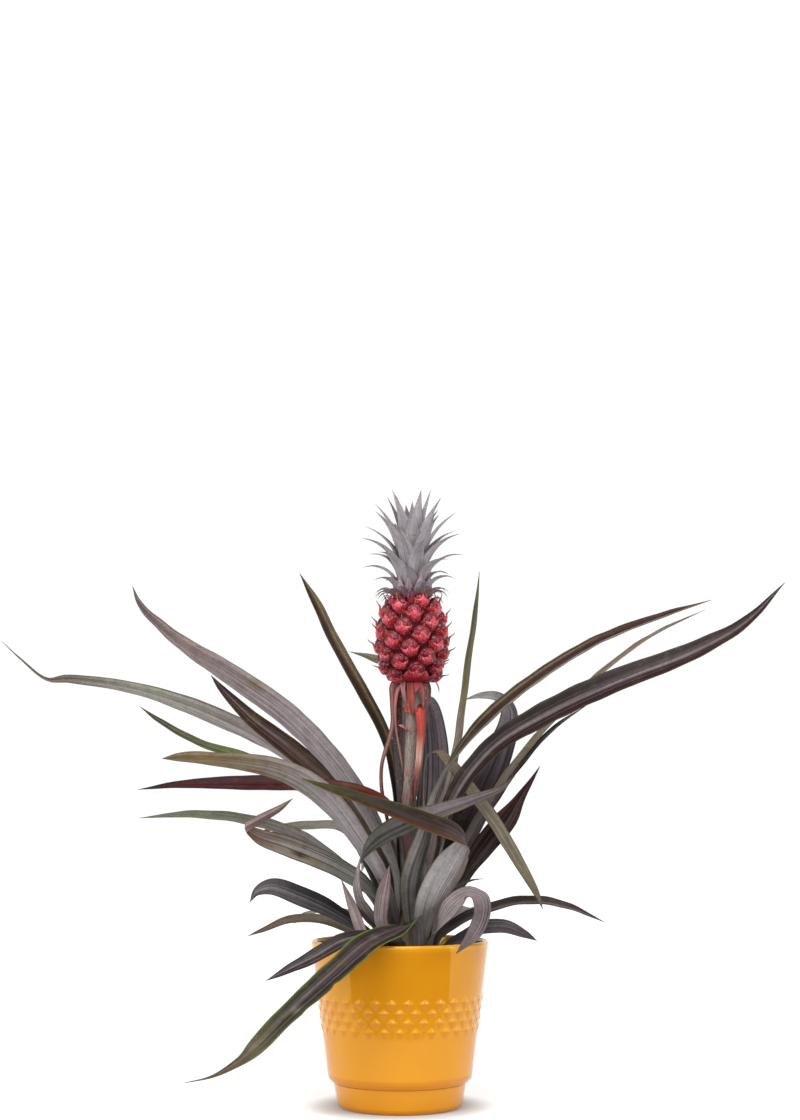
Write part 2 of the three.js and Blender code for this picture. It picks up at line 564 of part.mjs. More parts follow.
const stalk = stalkSolid(STALK_R).intersect(above(STUMP_TOP_Z + CLEARANCE));
add("flower_stalk", geometryOf(stalk), stemTissue);

// Straps and small bracts below the fruit, grown from one collar round the stalk.
const collar = turned([
  [0, COLLAR_Z], [COLLAR_R, COLLAR_Z], [COLLAR_TOP_R, COLLAR_TOP_Z], [0, COLLAR_TOP_Z],
], COLLAR_SIDES).translate(COLLAR_X, 0, 0);
const straps = [
  { path: [[5, -2, 331, 5], [-3, -3, 335, 5], [-8, -3, 328, 5], [-7, -4, 305, 4.5], [-10, -7, 285, 4],
    [-15, -10, 258, 3.5], [-10, -12, 226, 3], [-3, -13, 196, 1.6]],
    faces: [[0, -2, 9], [-8, -5, 2], [-8, -5, 2], [-8, -5, 2]] },
  { path: [[9, -3, 330, 5], [13.5, -6.4, 324, 7], [15, -7.5, 306, 9], [15, -8, 280, 9], [13, -8, 256, 6],
    [11.5, -8, 242, 1.6]],
    faces: [[3, -5, 5], [3, -9, 0], [3, -9, 0]] },
  { path: [[9, -1, 331, 5], [16, -2, 334, 5], [21, -2, 330, 4.5], [22, -2, 312, 1.6]],
    faces: [[0, -4, 9], [8, -5, 2]] },
  { path: [[5, -2, 331, 4], [4.5, -8, 333, 4], [4.6, -9.5, 326, 3.5], [5, -9.5, 316, 1.4]],
    faces: [[0, -2, 9], [0, -9, 1]] },
  { path: [[9, -2, 331, 4], [9.4, -8, 333, 4], [9.6, -10, 325, 3.5], [9, -10, 315, 1.4]],
    faces: [[0, -2, 9], [0, -9, 1]] },
  { path: [[6, 3, 331, 6], [0, 8, 333, 6], [-3, 9.5, 322, 7], [-3.2, 9.4, 298, 7.5], [-0.8, 9, 272, 6],
    [0.6, 8.6, 250, 1.6]],
    faces: [[-3, 2, 9], [-4, 8, 2], [-4, 8, 2]] },
  { path: [[9, 3, 331, 5], [14, 8, 334, 5], [16, 10, 326, 5], [15.5, 10, 308, 1.5]],
    faces: [[3, 3, 9], [5, 8, 2]] },
];
const strapBodies = straps.map((strap) => solid(bladeGeometry({ ...strap, cup: 0.1, steps: 1 })));
const strapStem = strapBodies.reduce((body, strap) => body.add(strap), solid(collar));
add("stalk_bracts", geometryOf(largest(strapStem.subtract(stalkSolid(STALK_R + CLEARANCE)))), redTissue);

// Fruit: a barrel of eyes, set on a golden-angle spiral. Each eye is a low dome with a pointed
// bract that rises from its lower half.
function fruitRadius(z) {
  const half = z > FRUIT_WIDEST_Z ? FRUIT_ROUND_UP : FRUIT_ROUND_DOWN;
  const share = Math.min(1, Math.abs(z - FRUIT_WIDEST_Z) / half);
  return FRUIT_R * Math.sqrt(1 - share * share);
}

function fruitCore() {
  const profile = [[0, FRUIT_BASE_Z]];
  const levels = 6;
  const shoulder = 0.82; // both ends are drawn in by this much
  for (let i = 0; i <= levels; i += 1) {
    const z = FRUIT_BASE_Z + (i / levels) * (FRUIT_TOP_Z - FRUIT_BASE_Z);
    const share = i === 0 || i === levels ? shoulder : 1;
    profile.push([(fruitRadius(z) - EYE_SEAT) * share, z]);
  }
  profile.push([0, FRUIT_TOP_Z]);
  return solid(turned(profile, FRUIT_SIDES));
}

// An eye, modelled along +X with +Z up: rings of [out, half width, half height, lift], from its
// sunk base over the dome to the foot of the bract, and then the bract's tip.
const EYE_RINGS = [
  [-2, 6, 5.6, 0],
  [1.3, 5.5, 5, 0],
  [2.9, 2.4, 2.2, -0.6],
];
const EYE_CORNERS = 5;
const EYE_TIP = [7.2, 0, 4.6];

function eyeGeometry(size) {
  const vertices = [];
  for (const [out, wide, high, lift] of EYE_RINGS) {
    for (let i = 0; i < EYE_CORNERS; i += 1) {
      const angle = ((i + 0.25) / EYE_CORNERS) * 2 * Math.PI;
      vertices.push(out, Math.cos(angle) * wide, Math.sin(angle) * high + lift);
    }
  }
  vertices.push(...EYE_TIP);
  const triangles = [];
  const last = (EYE_RINGS.length - 1) * EYE_CORNERS;
  for (let i = 0; i < EYE_CORNERS; i += 1) {
    const next = (i + 1) % EYE_CORNERS;
    for (let ring = 0; ring < last; ring += EYE_CORNERS) {
      const [a, b] = [ring + i, ring + next];
      triangles.push(a, b, b + EYE_CORNERS, a, b + EYE_CORNERS, a + EYE_CORNERS);
    }
    triangles.push(last + i, last + next, last + EYE_CORNERS);
    if (i > 1) triangles.push(0, i, i - 1);
  }
  const geometry = new THREE.BufferGeometry();
  geometry.setAttribute("position", new THREE.Float32BufferAttribute(vertices.map((v) => v * size), 3));
  geometry.setIndex(triangles);
  return geometry;
}

// Sets a piece that is modelled along +X, with +Z up, on the fruit at an angle and a height.
function onFruit(geometry, angle, z, lean) {
  const turn = new THREE.Matrix4().makeRotationZ(angle);
  turn.multiply(new THREE.Matrix4().makeTranslation(fruitRadius(z) - EYE_SEAT, 0, z));
  turn.multiply(new THREE.Matrix4().makeRotationY(-lean));
  return geometry.applyMatrix4(turn);
}

function fruitSolid() {
  let body = fruitCore();
  for (let i = 0; i < EYES; i += 1) {
    const z = EYE_FIRST_Z + i * EYE_RISE;
    const angle = THREE.MathUtils.degToRad(EYE_FIRST_ANGLE + i * GOLDEN_ANGLE);
    const lean = Math.atan((fruitRadius(z - 1) - fruitRadius(z + 1)) / 2);
    const size = EYE_SMALLEST + (1 - EYE_SMALLEST) * Math.sin((Math.PI * (i + 1)) / (EYES + 1));
    body = body.add(solid(onFruit(eyeGeometry(size), angle, z, lean)));
  }
  return body;
}

const fruit = fruitSolid().intersect(above(FRUIT_BASE_Z)).subtract(above(FRUIT_TOP_Z));
const fruitPlaced = fruit.translate([FRUIT_X, 0, 0]).subtract(strapStem);
add("fruit", geometryOf(largest(fruitPlaced)), fruitSkin);

// Crown: stiff channelled leaves on a short core, on the same spiral. The lowest are short and
// curl out and down, the highest are broad and stand up.
function crownLeafPath(i) {
  const share = i / (CROWN_LEAVES - 1);
  const blend = (part) => THREE.MathUtils.lerp(CROWN_LOWEST[part], CROWN_HIGHEST[part], share);
  const angle = THREE.MathUtils.degToRad(CROWN_FIRST_ANGLE + i * GOLDEN_ANGLE);
  const widths = [...CROWN_TAPER.map((taper) => taper * blend("width")), TIP_WIDTH];
  const steps = CROWN_TAPER.length;
  const stride = (blend("length") + CROWN_BULGE * Math.sin(Math.PI * share)) / steps;
  const droop = THREE.MathUtils.degToRad(blend("droop")) / steps;
  let lift = THREE.MathUtils.degToRad(blend("lift"));
  let reach = blend("reach");
  let z = CROWN_BASE_Z + blend("height");
  const path = [];
  for (const width of widths) {
    path.push([reach * Math.cos(angle), reach * Math.sin(angle), z, width]);
    reach += stride * Math.cos(lift);
    z += stride * Math.sin(lift);
    lift -= droop;
  }
  return { path, inward: [-Math.cos(angle), -Math.sin(angle), 0.9] };
}

function crownSolid() {
  let body = solid(turned([
    [0, CROWN_BASE_Z], [CROWN_CORE_R, CROWN_BASE_Z],
    [CROWN_CORE_NECK_R, CROWN_CORE_TOP_Z - CROWN_CORE_NECK_R], [0, CROWN_CORE_TOP_Z],
  ], 8));
  for (let i = 0; i < CROWN_LEAVES; i += 1) {
    const { path, inward } = crownLeafPath(i);
    const shape = { path, faces: [inward, inward], cup: 0.16, steps: 1, section: SHARP_SECTION };
    body = body.add(solid(bladeGeometry(shape)));
  }
  return body.intersect(above(CROWN_BASE_Z));
}

add("crown", geometryOf(largest(crownSolid().translate([FRUIT_X, 0, 0]))), crownTissue);

export default object;
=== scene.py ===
import math
import random

import bpy
import numpy as np
from mathutils import Matrix, Vector


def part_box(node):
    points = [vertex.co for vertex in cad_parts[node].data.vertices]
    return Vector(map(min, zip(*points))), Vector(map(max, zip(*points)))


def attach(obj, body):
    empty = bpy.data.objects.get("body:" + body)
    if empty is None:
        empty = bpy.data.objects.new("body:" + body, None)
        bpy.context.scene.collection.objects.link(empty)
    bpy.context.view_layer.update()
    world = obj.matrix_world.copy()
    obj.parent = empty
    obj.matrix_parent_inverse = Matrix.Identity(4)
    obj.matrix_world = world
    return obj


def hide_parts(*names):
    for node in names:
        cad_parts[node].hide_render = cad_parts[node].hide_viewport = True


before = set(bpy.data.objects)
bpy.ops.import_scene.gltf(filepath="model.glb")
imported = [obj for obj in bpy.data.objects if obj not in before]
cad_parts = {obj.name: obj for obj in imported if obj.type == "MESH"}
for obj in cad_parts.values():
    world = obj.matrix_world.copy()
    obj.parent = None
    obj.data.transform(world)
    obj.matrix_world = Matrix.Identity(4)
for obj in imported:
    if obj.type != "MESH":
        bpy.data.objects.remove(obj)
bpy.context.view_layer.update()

MM = 0.001


# The photograph's camera stands 1.5 m in front of the pot and looks straight ahead, a little below
# the fruit. The lens is shifted down, so that the plant stands in the lower half of the picture.
PHOTO_HIGH = 1120
HORIZON_PX = 803
FOCAL_PX = 1915
SENSOR_HIGH = 36
CAMERA_PLACE = (0, -1.507, 0.2386)

bpy.ops.object.camera_add(location=CAMERA_PLACE, rotation=(math.radians(90), 0, 0))
camera = bpy.context.object
camera.data.sensor_width = SENSOR_HIGH
camera.data.lens = FOCAL_PX / PHOTO_HIGH * SENSOR_HIGH
camera.data.shift_y = (HORIZON_PX - PHOTO_HIGH / 2) / PHOTO_HIGH
bpy.context.scene.camera = camera


# A studio table of plain white card. It glows, though it is no lamp, so that it stays white to the
# horizon, and its glow is cut low round the pot's foot, as a painted shadow.
FLOOR_SIDE = 24
# The glow inside the painted shadow at the pot's foot, round the pot and far off, and the rings in metres
# where it rises.
PAINTED_SHADOW_GLOW, GLOW_ROUND, GLOW_FAR = 0.1, 0.62, 0.9
PAINTED_SHADOW_RING, FAR_RING = (0.05, 0.085), (0.3, 1.6)


def linear(sheet_colour):
    """The linear colour, with alpha, of an sRGB hex value."""
    shares = [int(sheet_colour[i:i + 2], 16) / 255 for i in (1, 3, 5)]
    return [c / 12.92 if c <= 0.04045 else ((c + 0.055) / 1.055) ** 2.4 for c in shares] + [1.0]


def add_node(tree, kind, inputs=None, **settings):
    """Adds a shader node. An input's value is a number, a colour or the socket that it's linked to."""
    made = tree.nodes.new(kind)
    for name, value in settings.items():
        setattr(made, name, value)
    for name, value in (inputs or {}).items():
        if isinstance(value, bpy.types.NodeSocket):
            tree.links.new(value, made.inputs[name])
        else:
            made.inputs[name].default_value = value
    return made


def new_material(name, colour, roughness):
    """A material with its node tree and its shader."""
    material = bpy.data.materials.new(name)
    material.use_nodes = True
    shader = material.node_tree.nodes["Principled BSDF"]
    shader.inputs["Base Color"].default_value = linear(colour)
    shader.inputs["Roughness"].default_value = roughness
    return material, material.node_tree, shader


bpy.ops.object.select_all(action="DESELECT")
bpy.ops.mesh.primitive_plane_add(size=FLOOR_SIDE, location=(0, 0, 0))
floor = bpy.context.object
floor.name = "studio_floor"
card, tree, shader = new_material("glowing_white_card_with_painted_shadow", "#BCBCBC", 0.9)
where = add_node(tree, "ShaderNodeTexCoord")
away = add_node(tree, "ShaderNodeVectorMath", {0: where.outputs["Object"]}, operation="LENGTH")
# The glow is lowest at the pot's foot and rises outwards: a painted shadow round the pot.
glow_with_painted_shadow = add_node(tree, "ShaderNodeMapRange", {
    "Value": away.outputs["Value"], "From Min": PAINTED_SHADOW_RING[0], "From Max": PAINTED_SHADOW_RING[1],
    "To Min": PAINTED_SHADOW_GLOW, "To Max": GLOW_ROUND,
}, interpolation_type="SMOOTHSTEP")
glow_far = add_node(tree, "ShaderNodeMapRange", {
    "Value": away.outputs["Value"], "From Min": FAR_RING[0], "From Max": FAR_RING[1],
    "To Min": 0.0, "To Max": GLOW_FAR - GLOW_ROUND,
}, interpolation_type="SMOOTHSTEP")
glow = add_node(tree, "ShaderNodeMath", {
    0: glow_with_painted_shadow.outputs["Result"], 1: glow_far.outputs["Result"],
}, operation="ADD")
tree.links.new(glow.outputs["Value"], shader.inputs["Emission Strength"])
shader.inputs["Emission Color"].default_value = linear("#FFFFFF")
floor.data.materials.append(card)

# In front of the pot the glaze mirrors a dark flag, which gives it a deeper patch between its bright
# sides and keeps the light low from the front. It's hidden from the camera, so the table looks plain.
FLAG_OUTLINE = [(0, -0.22), (0.306, -0.1355), (6.78, -3), (-6.78, -3), (-0.306, -0.1355)]
FLAG_Z = 1 * MM
bpy.ops.object.select_all(action="DESELECT")
bpy.ops.mesh.primitive_circle_add(
    vertices=len(FLAG_OUTLINE), radius=1, fill_type="NGON", location=(0, 0, 0),
)
flag = bpy.context.object
flag.name = "dark_flag"
for vertex, (x, y) in zip(flag.data.vertices, FLAG_OUTLINE):
    vertex.co = Vector((x, y, FLAG_Z))
flag.data.materials.append(new_material("dark_flag_cloth", "#2A2A2A", 0.9)[0])
flag.visible_camera = False
flag.visible_shadow = False

# A large soft box stands on each side of the camera, a third hangs above it, and a wide one behind
# it lights the heart of the plant.
SOFT_BOXES = [
    # name, place, width, height, watts
    ("soft_box_left", (-1.3, -0.9, 0.75), 0.9, 1.3, 14),
    ("soft_box_right", (1.35, -0.75, 0.7), 0.8, 1.3, 10),
    ("soft_box_above", (0.05, -0.75, 1.45), 0.9, 0.8, 14),
    ("soft_box_front", (-0.15, -2.3, 0.62), 1.8, 1.1, 17),
]
LIT_POINT = Vector((0, 0, 0.22))
for name, place, width, height, watts in SOFT_BOXES:
    bpy.ops.object.light_add(type="AREA", location=place)
    box = bpy.context.object
    box.name = name
    box.data.shape = "RECTANGLE"
    box.data.size = width
    box.data.size_y = height
    box.data.energy = watts
    box.rotation_euler = (LIT_POINT - Vector(place)).to_track_quat("-Z", "Y").to_euler()

# A lit white wall fills the picture behind the table. The rest of the room is grey, and darkest
# behind the camera, so that the dark leaves keep their depth.
WALL_FROM, WALL_FULL = 0.45, 0.86
DARKEST, DARK_ENDS = -0.85, -0.2
room = bpy.data.worlds.new("white_room")
room.use_nodes = True
tree = room.node_tree
where = add_node(tree, "ShaderNodeTexCoord")
split = add_node(tree, "ShaderNodeSeparateXYZ", {0: where.outputs["Generated"]})
wall_part = add_node(tree, "ShaderNodeMapRange", {
    "Value": split.outputs["Y"], "From Min": WALL_FROM, "From Max": WALL_FULL,
    "To Min": 0.4, "To Max": 1.04,
}, interpolation_type="SMOOTHSTEP")
dark_part = add_node(tree, "ShaderNodeMapRange", {
    "Value": split.outputs["Y"], "From Min": DARKEST, "From Max": DARK_ENDS,
    "To Min": 0.3, "To Max": 1.0,
}, interpolation_type="SMOOTHSTEP")
brightness = add_node(tree, "ShaderNodeMath", {
    0: wall_part.outputs["Result"], 1: dark_part.outputs["Result"],
}, operation="MULTIPLY")
backdrop = tree.nodes["Background"]
tree.links.new(brightness.outputs["Value"], backdrop.inputs["Strength"])
backdrop.inputs["Color"].default_value = linear("#FFFFFF")
bpy.context.scene.world = room
bpy.context.scene.view_settings.view_transform = "Standard"


# The cover pot is cast earthenware, dipped in a glossy yellow glaze. Its mould gave it a rounded
# lip, a fine groove above the foot, and a band of four staggered rows of raised diamonds.
POT_HIGH = 131 * MM
POT_RIM_R = 70 * MM
POT_WALL = 4.5 * MM
POT_SHOULDER_R, POT_SHOULDER_Z = 56.6 * MM, 24 * MM
POT_GROOVE_R, POT_GROOVE_Z = 52.2 * MM, 20 * MM
POT_FOOT_R, POT_FOOT_ROUND = 49.6 * MM, 4.5 * MM
POT_LIP_ROUND = 2.2 * MM
POT_FLOOR_Z = 8 * MM
STUDS_A_ROW, STUD_ROWS = 32, 4
STUD_TOP_ROW_Z, STUD_ROW_PITCH = 86.6 * MM, 7.3 * MM
STUD_UP, STUD_DOWN, STUD_RISE = 3.7 * MM, 5.8 * MM, 0.8 * MM
STUD_HALF = 0.74
STUD_ROUNDING = 0.05
BAND_LOW_Z, BAND_HIGH_Z = 55 * MM, 93 * MM
POT_COLUMNS = 512
SEAM_GAP = 0.01 * MM


def corners(piece):
    """A piece's vertices, a row of x, y and z each."""
    flat = np.empty(len(piece.data.vertices) * 3)
    piece.data.vertices.foreach_get("co", flat)
    return flat.reshape(-1, 3)


def place_rows(grid, corner):
    """Moves a unit grid's vertices. corner takes its columns and rows, both from 0 to 1."""
    at = corners(grid)
    moved = corner(at[:, 0] + 0.5, at[:, 1] + 0.5)
    grid.data.vertices.foreach_set("co", np.asarray(moved, float).ravel())
    grid.data.update()


def new_grid(name, columns, rows):
    """A unit grid, ready to be placed."""
    bpy.ops.object.select_all(action="DESELECT")
    bpy.ops.mesh.primitive_grid_add(x_subdivisions=columns, y_subdivisions=rows, size=1)
    grid = bpy.context.object
    grid.name = name
    return grid


def close_seams(piece):
    """Joins doubled vertices and turns the faces outwards."""
    bpy.context.view_layer.objects.active = piece
    bpy.ops.object.mode_set(mode="EDIT")
    bpy.ops.mesh.select_all(action="SELECT")
    bpy.ops.mesh.remove_doubles(threshold=SEAM_GAP)
    bpy.ops.mesh.normals_make_consistent(inside=False)
    bpy.ops.object.mode_set(mode="OBJECT")


def smooth(piece, angle=180):
    """Smooths the shading, apart from edges sharper than an angle in degrees."""
    bpy.ops.object.select_all(action="DESELECT")
    piece.select_set(True)
    bpy.context.view_layer.objects.active = piece
    bpy.ops.object.shade_smooth_by_angle(angle=math.radians(angle))


def outline(points, spacing):
    """Points along a broken line, no further apart than a spacing, with its corners kept."""
    line = [points[0]]
    for start, end in zip(points, points[1:]):
        cuts = max(1, math.ceil(math.dist(start, end) / spacing))
        for k in range(1, cuts + 1):
            line.append([a + (b - a) * k / cuts for a, b in zip(start, end)])
    return line


def quarter_round(x, z, radius, quarter, cuts=5):
    """Points of a profile round a quarter circle, which starts at the given quarter turn."""
    angles = [(quarter + k / cuts) * math.pi / 2 for k in range(cuts + 1)]
    return [[x + radius * math.cos(a), z + radius * math.sin(a)] for a in angles]


def turned(profile, column, row):
    """A profile's points at a grid's rows: their index, radius, height and angle round the axis."""
    index = np.round(row * (len(profile) - 1)).astype(int)
    radius, z = profile[index].T
    return index, radius, z, column * 2 * math.pi


def round_axis(radius, angle, z, x=0):
    """Corners round an upright axis."""
    return np.stack([radius * np.cos(angle) + x, radius * np.sin(angle), z], axis=1)


pot_taper = (POT_RIM_R - POT_SHOULDER_R) / (POT_HIGH - POT_SHOULDER_Z)
lip_z = POT_HIGH - POT_LIP_ROUND
lip_r = POT_RIM_R - POT_LIP_ROUND * (1 + pot_taper)
inner_lip_r = POT_RIM_R - POT_WALL + POT_LIP_ROUND
band_low_r = POT_SHOULDER_R + (BAND_LOW_Z - POT_SHOULDER_Z) * pot_taper
band_high_r = POT_SHOULDER_R + (BAND_HIGH_Z - POT_SHOULDER_Z) * pot_taper
foot_part = outline([
    [0, 0.5 * MM],
    [POT_FOOT_R - 9 * MM, 0.5 * MM],
    [POT_FOOT_R - 8 * MM, 0],
    *quarter_round(POT_FOOT_R - POT_FOOT_ROUND, POT_FOOT_ROUND, POT_FOOT_ROUND, -1),
    [POT_GROOVE_R - 0.1 * MM, POT_GROOVE_Z - 0.5 * MM],
    [POT_GROOVE_R - 0.9 * MM, POT_GROOVE_Z - 0.2 * MM],
    [POT_GROOVE_R - 0.9 * MM, POT_GROOVE_Z + 0.1 * MM],
    [POT_SHOULDER_R - 2.9 * MM, POT_GROOVE_Z + 0.3 * MM],
    [POT_SHOULDER_R - 0.5 * MM, POT_SHOULDER_Z - 0.8 * MM],
    [POT_SHOULDER_R, POT_SHOULDER_Z],
    [band_low_r, BAND_LOW_Z],
], 4 * MM)
band_part = outline([[band_low_r, BAND_LOW_Z], [band_high_r, BAND_HIGH_Z]], 0.6 * MM)
lip_part = outline([
    [band_high_r, BAND_HIGH_Z],
    *quarter_round(lip_r, lip_z, POT_LIP_ROUND, 0),
    *quarter_round(inner_lip_r, lip_z, POT_LIP_ROUND, 1),
    [POT_SHOULDER_R - POT_WALL, POT_SHOULDER_Z],
    [POT_GROOVE_R - POT_WALL - 2 * MM, POT_FLOOR_Z],
    [0, POT_FLOOR_Z],
], 4 * MM)
pot_profile = np.array(foot_part + band_part[1:] + lip_part[1:])
band_first, band_last = len(foot_part), len(foot_part) + len(band_part) - 2


def stud_height(turn, z):
    """How far the studs stand out at an angle, as a share of a turn, and a height."""
    height = np.zeros_like(z)
    for row in range(STUD_ROWS):
        offset = (turn * STUDS_A_ROW + row / 2) % 1 - 0.5
        across = np.sqrt((offset * 2 / STUD_HALF) ** 2 + STUD_ROUNDING ** 2)
        rise = z - (STUD_TOP_ROW_Z - row * STUD_ROW_PITCH)
        along = np.where(rise > 0, rise / STUD_UP, -rise / STUD_DOWN)
        peak = 1 + STUD_ROUNDING - across - along
        height = np.maximum(height, (peak + np.sqrt(peak ** 2 + STUD_ROUNDING ** 2)) / 2)
    return height * STUD_RISE


def pot_corner(column, row):
    index, radius, z, angle = turned(pot_profile, column, row)
    in_band = (index > band_first) & (index < band_last)
    return round_axis(radius + np.where(in_band, stud_height(column, z), 0), angle, z)


pot = new_grid("glazed_cover_pot", POT_COLUMNS, len(pot_profile) - 1)
place_rows(pot, pot_corner)
close_seams(pot)
smooth(pot, angle=40)


# Earthenware glaze is opaque colour under a hard clear gloss. It is painted pale on faces that look
# up and deeper below each stud and in the groove: partly glaze that runs thin and gathers, and partly
# painted light from above and painted shade below. Its surface is never quite flat.
glaze, tree, shader = new_material("yellow_earthenware_glaze", "#DA930A", 0.06)
where = add_node(tree, "ShaderNodeTexCoord")
surface = add_node(tree, "ShaderNodeNewGeometry")
facing = add_node(tree, "ShaderNodeSeparateXYZ", {0: surface.outputs["Normal"]})
# Pale where the face looks up, deep where it looks down: painted light and shade, partly glaze run.
thin = add_node(tree, "ShaderNodeMapRange", {
    "Value": facing.outputs["Z"], "From Min": -0.26, "From Max": 0.02,
})
glaze_run_and_painted_light_colour = add_node(tree, "ShaderNodeMix", {
    0: thin.outputs["Result"], 6: linear("#C26C00"), 7: linear("#EAAA30"),
}, data_type="RGBA")
clouds = add_node(tree, "ShaderNodeTexNoise", {
    "Vector": where.outputs["Object"], "Scale": 1 / (26 * MM), "Detail": 3.0, "Roughness": 0.55,
})
cloud_share = add_node(tree, "ShaderNodeMapRange", {
    "Value": clouds.outputs["Fac"], "From Min": 0.3, "From Max": 0.7,
})
body_colour = add_node(tree, "ShaderNodeMix", {
    0: cloud_share.outputs["Result"], 6: linear("#CB8000"), 7: linear("#D28A02"),
}, data_type="RGBA")
glaze_colour = add_node(tree, "ShaderNodeMix", {
    0: 0.5, 6: body_colour.outputs[2], 7: glaze_run_and_painted_light_colour.outputs[2],
}, data_type="RGBA")
specks = add_node(tree, "ShaderNodeTexVoronoi", {
    "Vector": where.outputs["Object"], "Scale": 1 / (7 * MM),
})
speck_share = add_node(tree, "ShaderNodeMapRange", {
    "Value": specks.outputs["Distance"], "From Min": 0.0, "From Max": 0.045, "To Min": 0.5, "To Max": 0.0,
})
speckled = add_node(tree, "ShaderNodeMix", {
    0: speck_share.outputs["Result"], 6: glaze_colour.outputs[2], 7: linear("#9A5E06"),
}, data_type="RGBA")
swell = add_node(tree, "ShaderNodeTexNoise", {
    "Vector": where.outputs["Object"], "Scale": 1 / (18 * MM), "Detail": 1.0,
})
wave = add_node(tree, "ShaderNodeBump", {
    "Strength": 0.2, "Distance": 0.0003, "Height": swell.outputs["Fac"],
})
tree.links.new(speckled.outputs[2], shader.inputs["Base Color"])
tree.links.new(wave.outputs["Normal"], shader.inputs["Normal"])
shader.inputs["Specular IOR Level"].default_value = 0.85
shader.inputs["Specular Tint"].default_value = linear("#FFE29E")
pot.data.materials.append(glaze)
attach(pot, "root")
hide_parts("cover_pot")


# The nursery pot is thin black polypropylene, thermoformed with a rolled lip and shallow ribs. It
# stands loose in the cover pot, and only its lip shows.
INNER_Z = POT_FLOOR_Z + 0.3 * MM
INNER_TOP_Z = INNER_Z + 114 * MM
INNER_BASE_R, INNER_TOP_R, INNER_WALL = 43 * MM, 59.5 * MM, 1.4 * MM
INNER_LIP, INNER_LIP_DEEP = 2.0 * MM, 5 * MM
INNER_RIBS, INNER_RIB_DEEP, INNER_COLUMNS = 24, 0.4 * MM, 144
inner_lip_z = INNER_TOP_Z - INNER_LIP_DEEP
inner_profile = np.array(outline([
    [0, INNER_Z], [INNER_BASE_R - 2 * MM, INNER_Z], [INNER_BASE_R, INNER_Z + 2 * MM],
    [INNER_TOP_R - 0.7 * MM, inner_lip_z], [INNER_TOP_R + INNER_LIP - 0.6 * MM, inner_lip_z],
    [INNER_TOP_R + INNER_LIP, inner_lip_z + 0.6 * MM],
    *quarter_round(INNER_TOP_R + INNER_LIP - 1 * MM, INNER_TOP_Z - 1 * MM, 1 * MM, 0, 3),
    [INNER_TOP_R - INNER_WALL + 0.4 * MM, INNER_TOP_Z],
    [INNER_TOP_R - INNER_WALL, INNER_TOP_Z - 0.5 * MM],
    [INNER_BASE_R - INNER_WALL, INNER_Z + INNER_WALL], [0, INNER_Z + INNER_WALL],
], 6 * MM))


def inner_corner(column, row):
    _, radius, z, angle = turned(inner_profile, column, row)
    rib = np.clip(np.cos(angle * INNER_RIBS), 0, 1) * INNER_RIB_DEEP
    walled = (z > INNER_Z + 6 * MM) & (z < inner_lip_z - 4 * MM)
    return round_axis(radius - np.where(walled, rib, 0), angle, z)


inner_pot = new_grid("black_nursery_pot", INNER_COLUMNS, len(inner_profile) - 1)
place_rows(inner_pot, inner_corner)
close_seams(inner_pot)
smooth(inner_pot, angle=35)

# Polypropylene straight from its mould is satin black, and the wall is a little scuffed.
plastic, tree, shader = new_material("black_polypropylene", "#1C1C1D", 0.45)
where = add_node(tree, "ShaderNodeTexCoord")
scuffs = add_node(tree, "ShaderNodeTexNoise", {
    "Vector": where.outputs["Object"], "Scale": 1 / (3 * MM), "Detail": 4.0,
})
scuffed = add_node(tree, "ShaderNodeMix", {
    0: scuffs.outputs["Fac"], 6: linear("#151516"), 7: linear("#2A2A2B"),
}, data_type="RGBA")
tree.links.new(scuffed.outputs[2], shader.inputs["Base Color"])
shader.inputs["Specular IOR Level"].default_value = 0.1
inner_pot.data.materials.append(plastic)
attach(inner_pot, "root")
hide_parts("nursery_pot")


# Potting mix is dark peat with white perlite and chips of bark. It fills the nursery pot to a
# finger's width below the lip and mounds a little round the stem.
SOIL_TOP_Z = 112 * MM
SOIL_CUTS = 7
SOIL_SURFACE = 0.98
CLOD_HIGH = 0.9 * MM
PERLITE_GRAINS, BARK_CHIPS = 90, 60
GRAIN_REACH, GRAIN_TILT, GRAIN_NARROW = (0.2, 0.86), 0.5, (0.5, 0.9)
low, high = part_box("potting_mix")
soil_r = high.x - 0.2 * MM
bpy.ops.object.select_all(action="DESELECT")
bpy.ops.mesh.primitive_cylinder_add(
    vertices=96, radius=soil_r, depth=high.z - low.z, location=(0, 0, (high.z + low.z) / 2),
    end_fill_type="TRIFAN",
)
soil = bpy.context.object
soil.name = "peat_potting_mix"
bpy.ops.object.transform_apply(location=True, rotation=True, scale=True)
bpy.ops.object.mode_set(mode="EDIT")
bpy.ops.mesh.select_all(action="SELECT")
bpy.ops.mesh.subdivide(number_cuts=SOIL_CUTS)
bpy.ops.object.mode_set(mode="OBJECT")
for vertex in soil.data.vertices:
    x, y, z = vertex.co
    share = (z - low.z) / (high.z - low.z)
    narrow = 1 - (1 - share) * (1 - INNER_BASE_R / INNER_TOP_R)
    vertex.co.x *= narrow
    vertex.co.y *= narrow
    if share > SOIL_SURFACE:
        clods = math.sin(x * 410 + 1) * math.sin(y * 370 + 2) * 0.5
        crumbs = math.sin(x * 1130) * math.sin(y * 1010) * 0.3
        edge_dip = max(0, math.hypot(x, y) / soil_r - 0.85) * 14 * MM
        vertex.co.z = SOIL_TOP_Z - 0.6 * MM + (clods + crumbs) * CLOD_HIGH - edge_dip

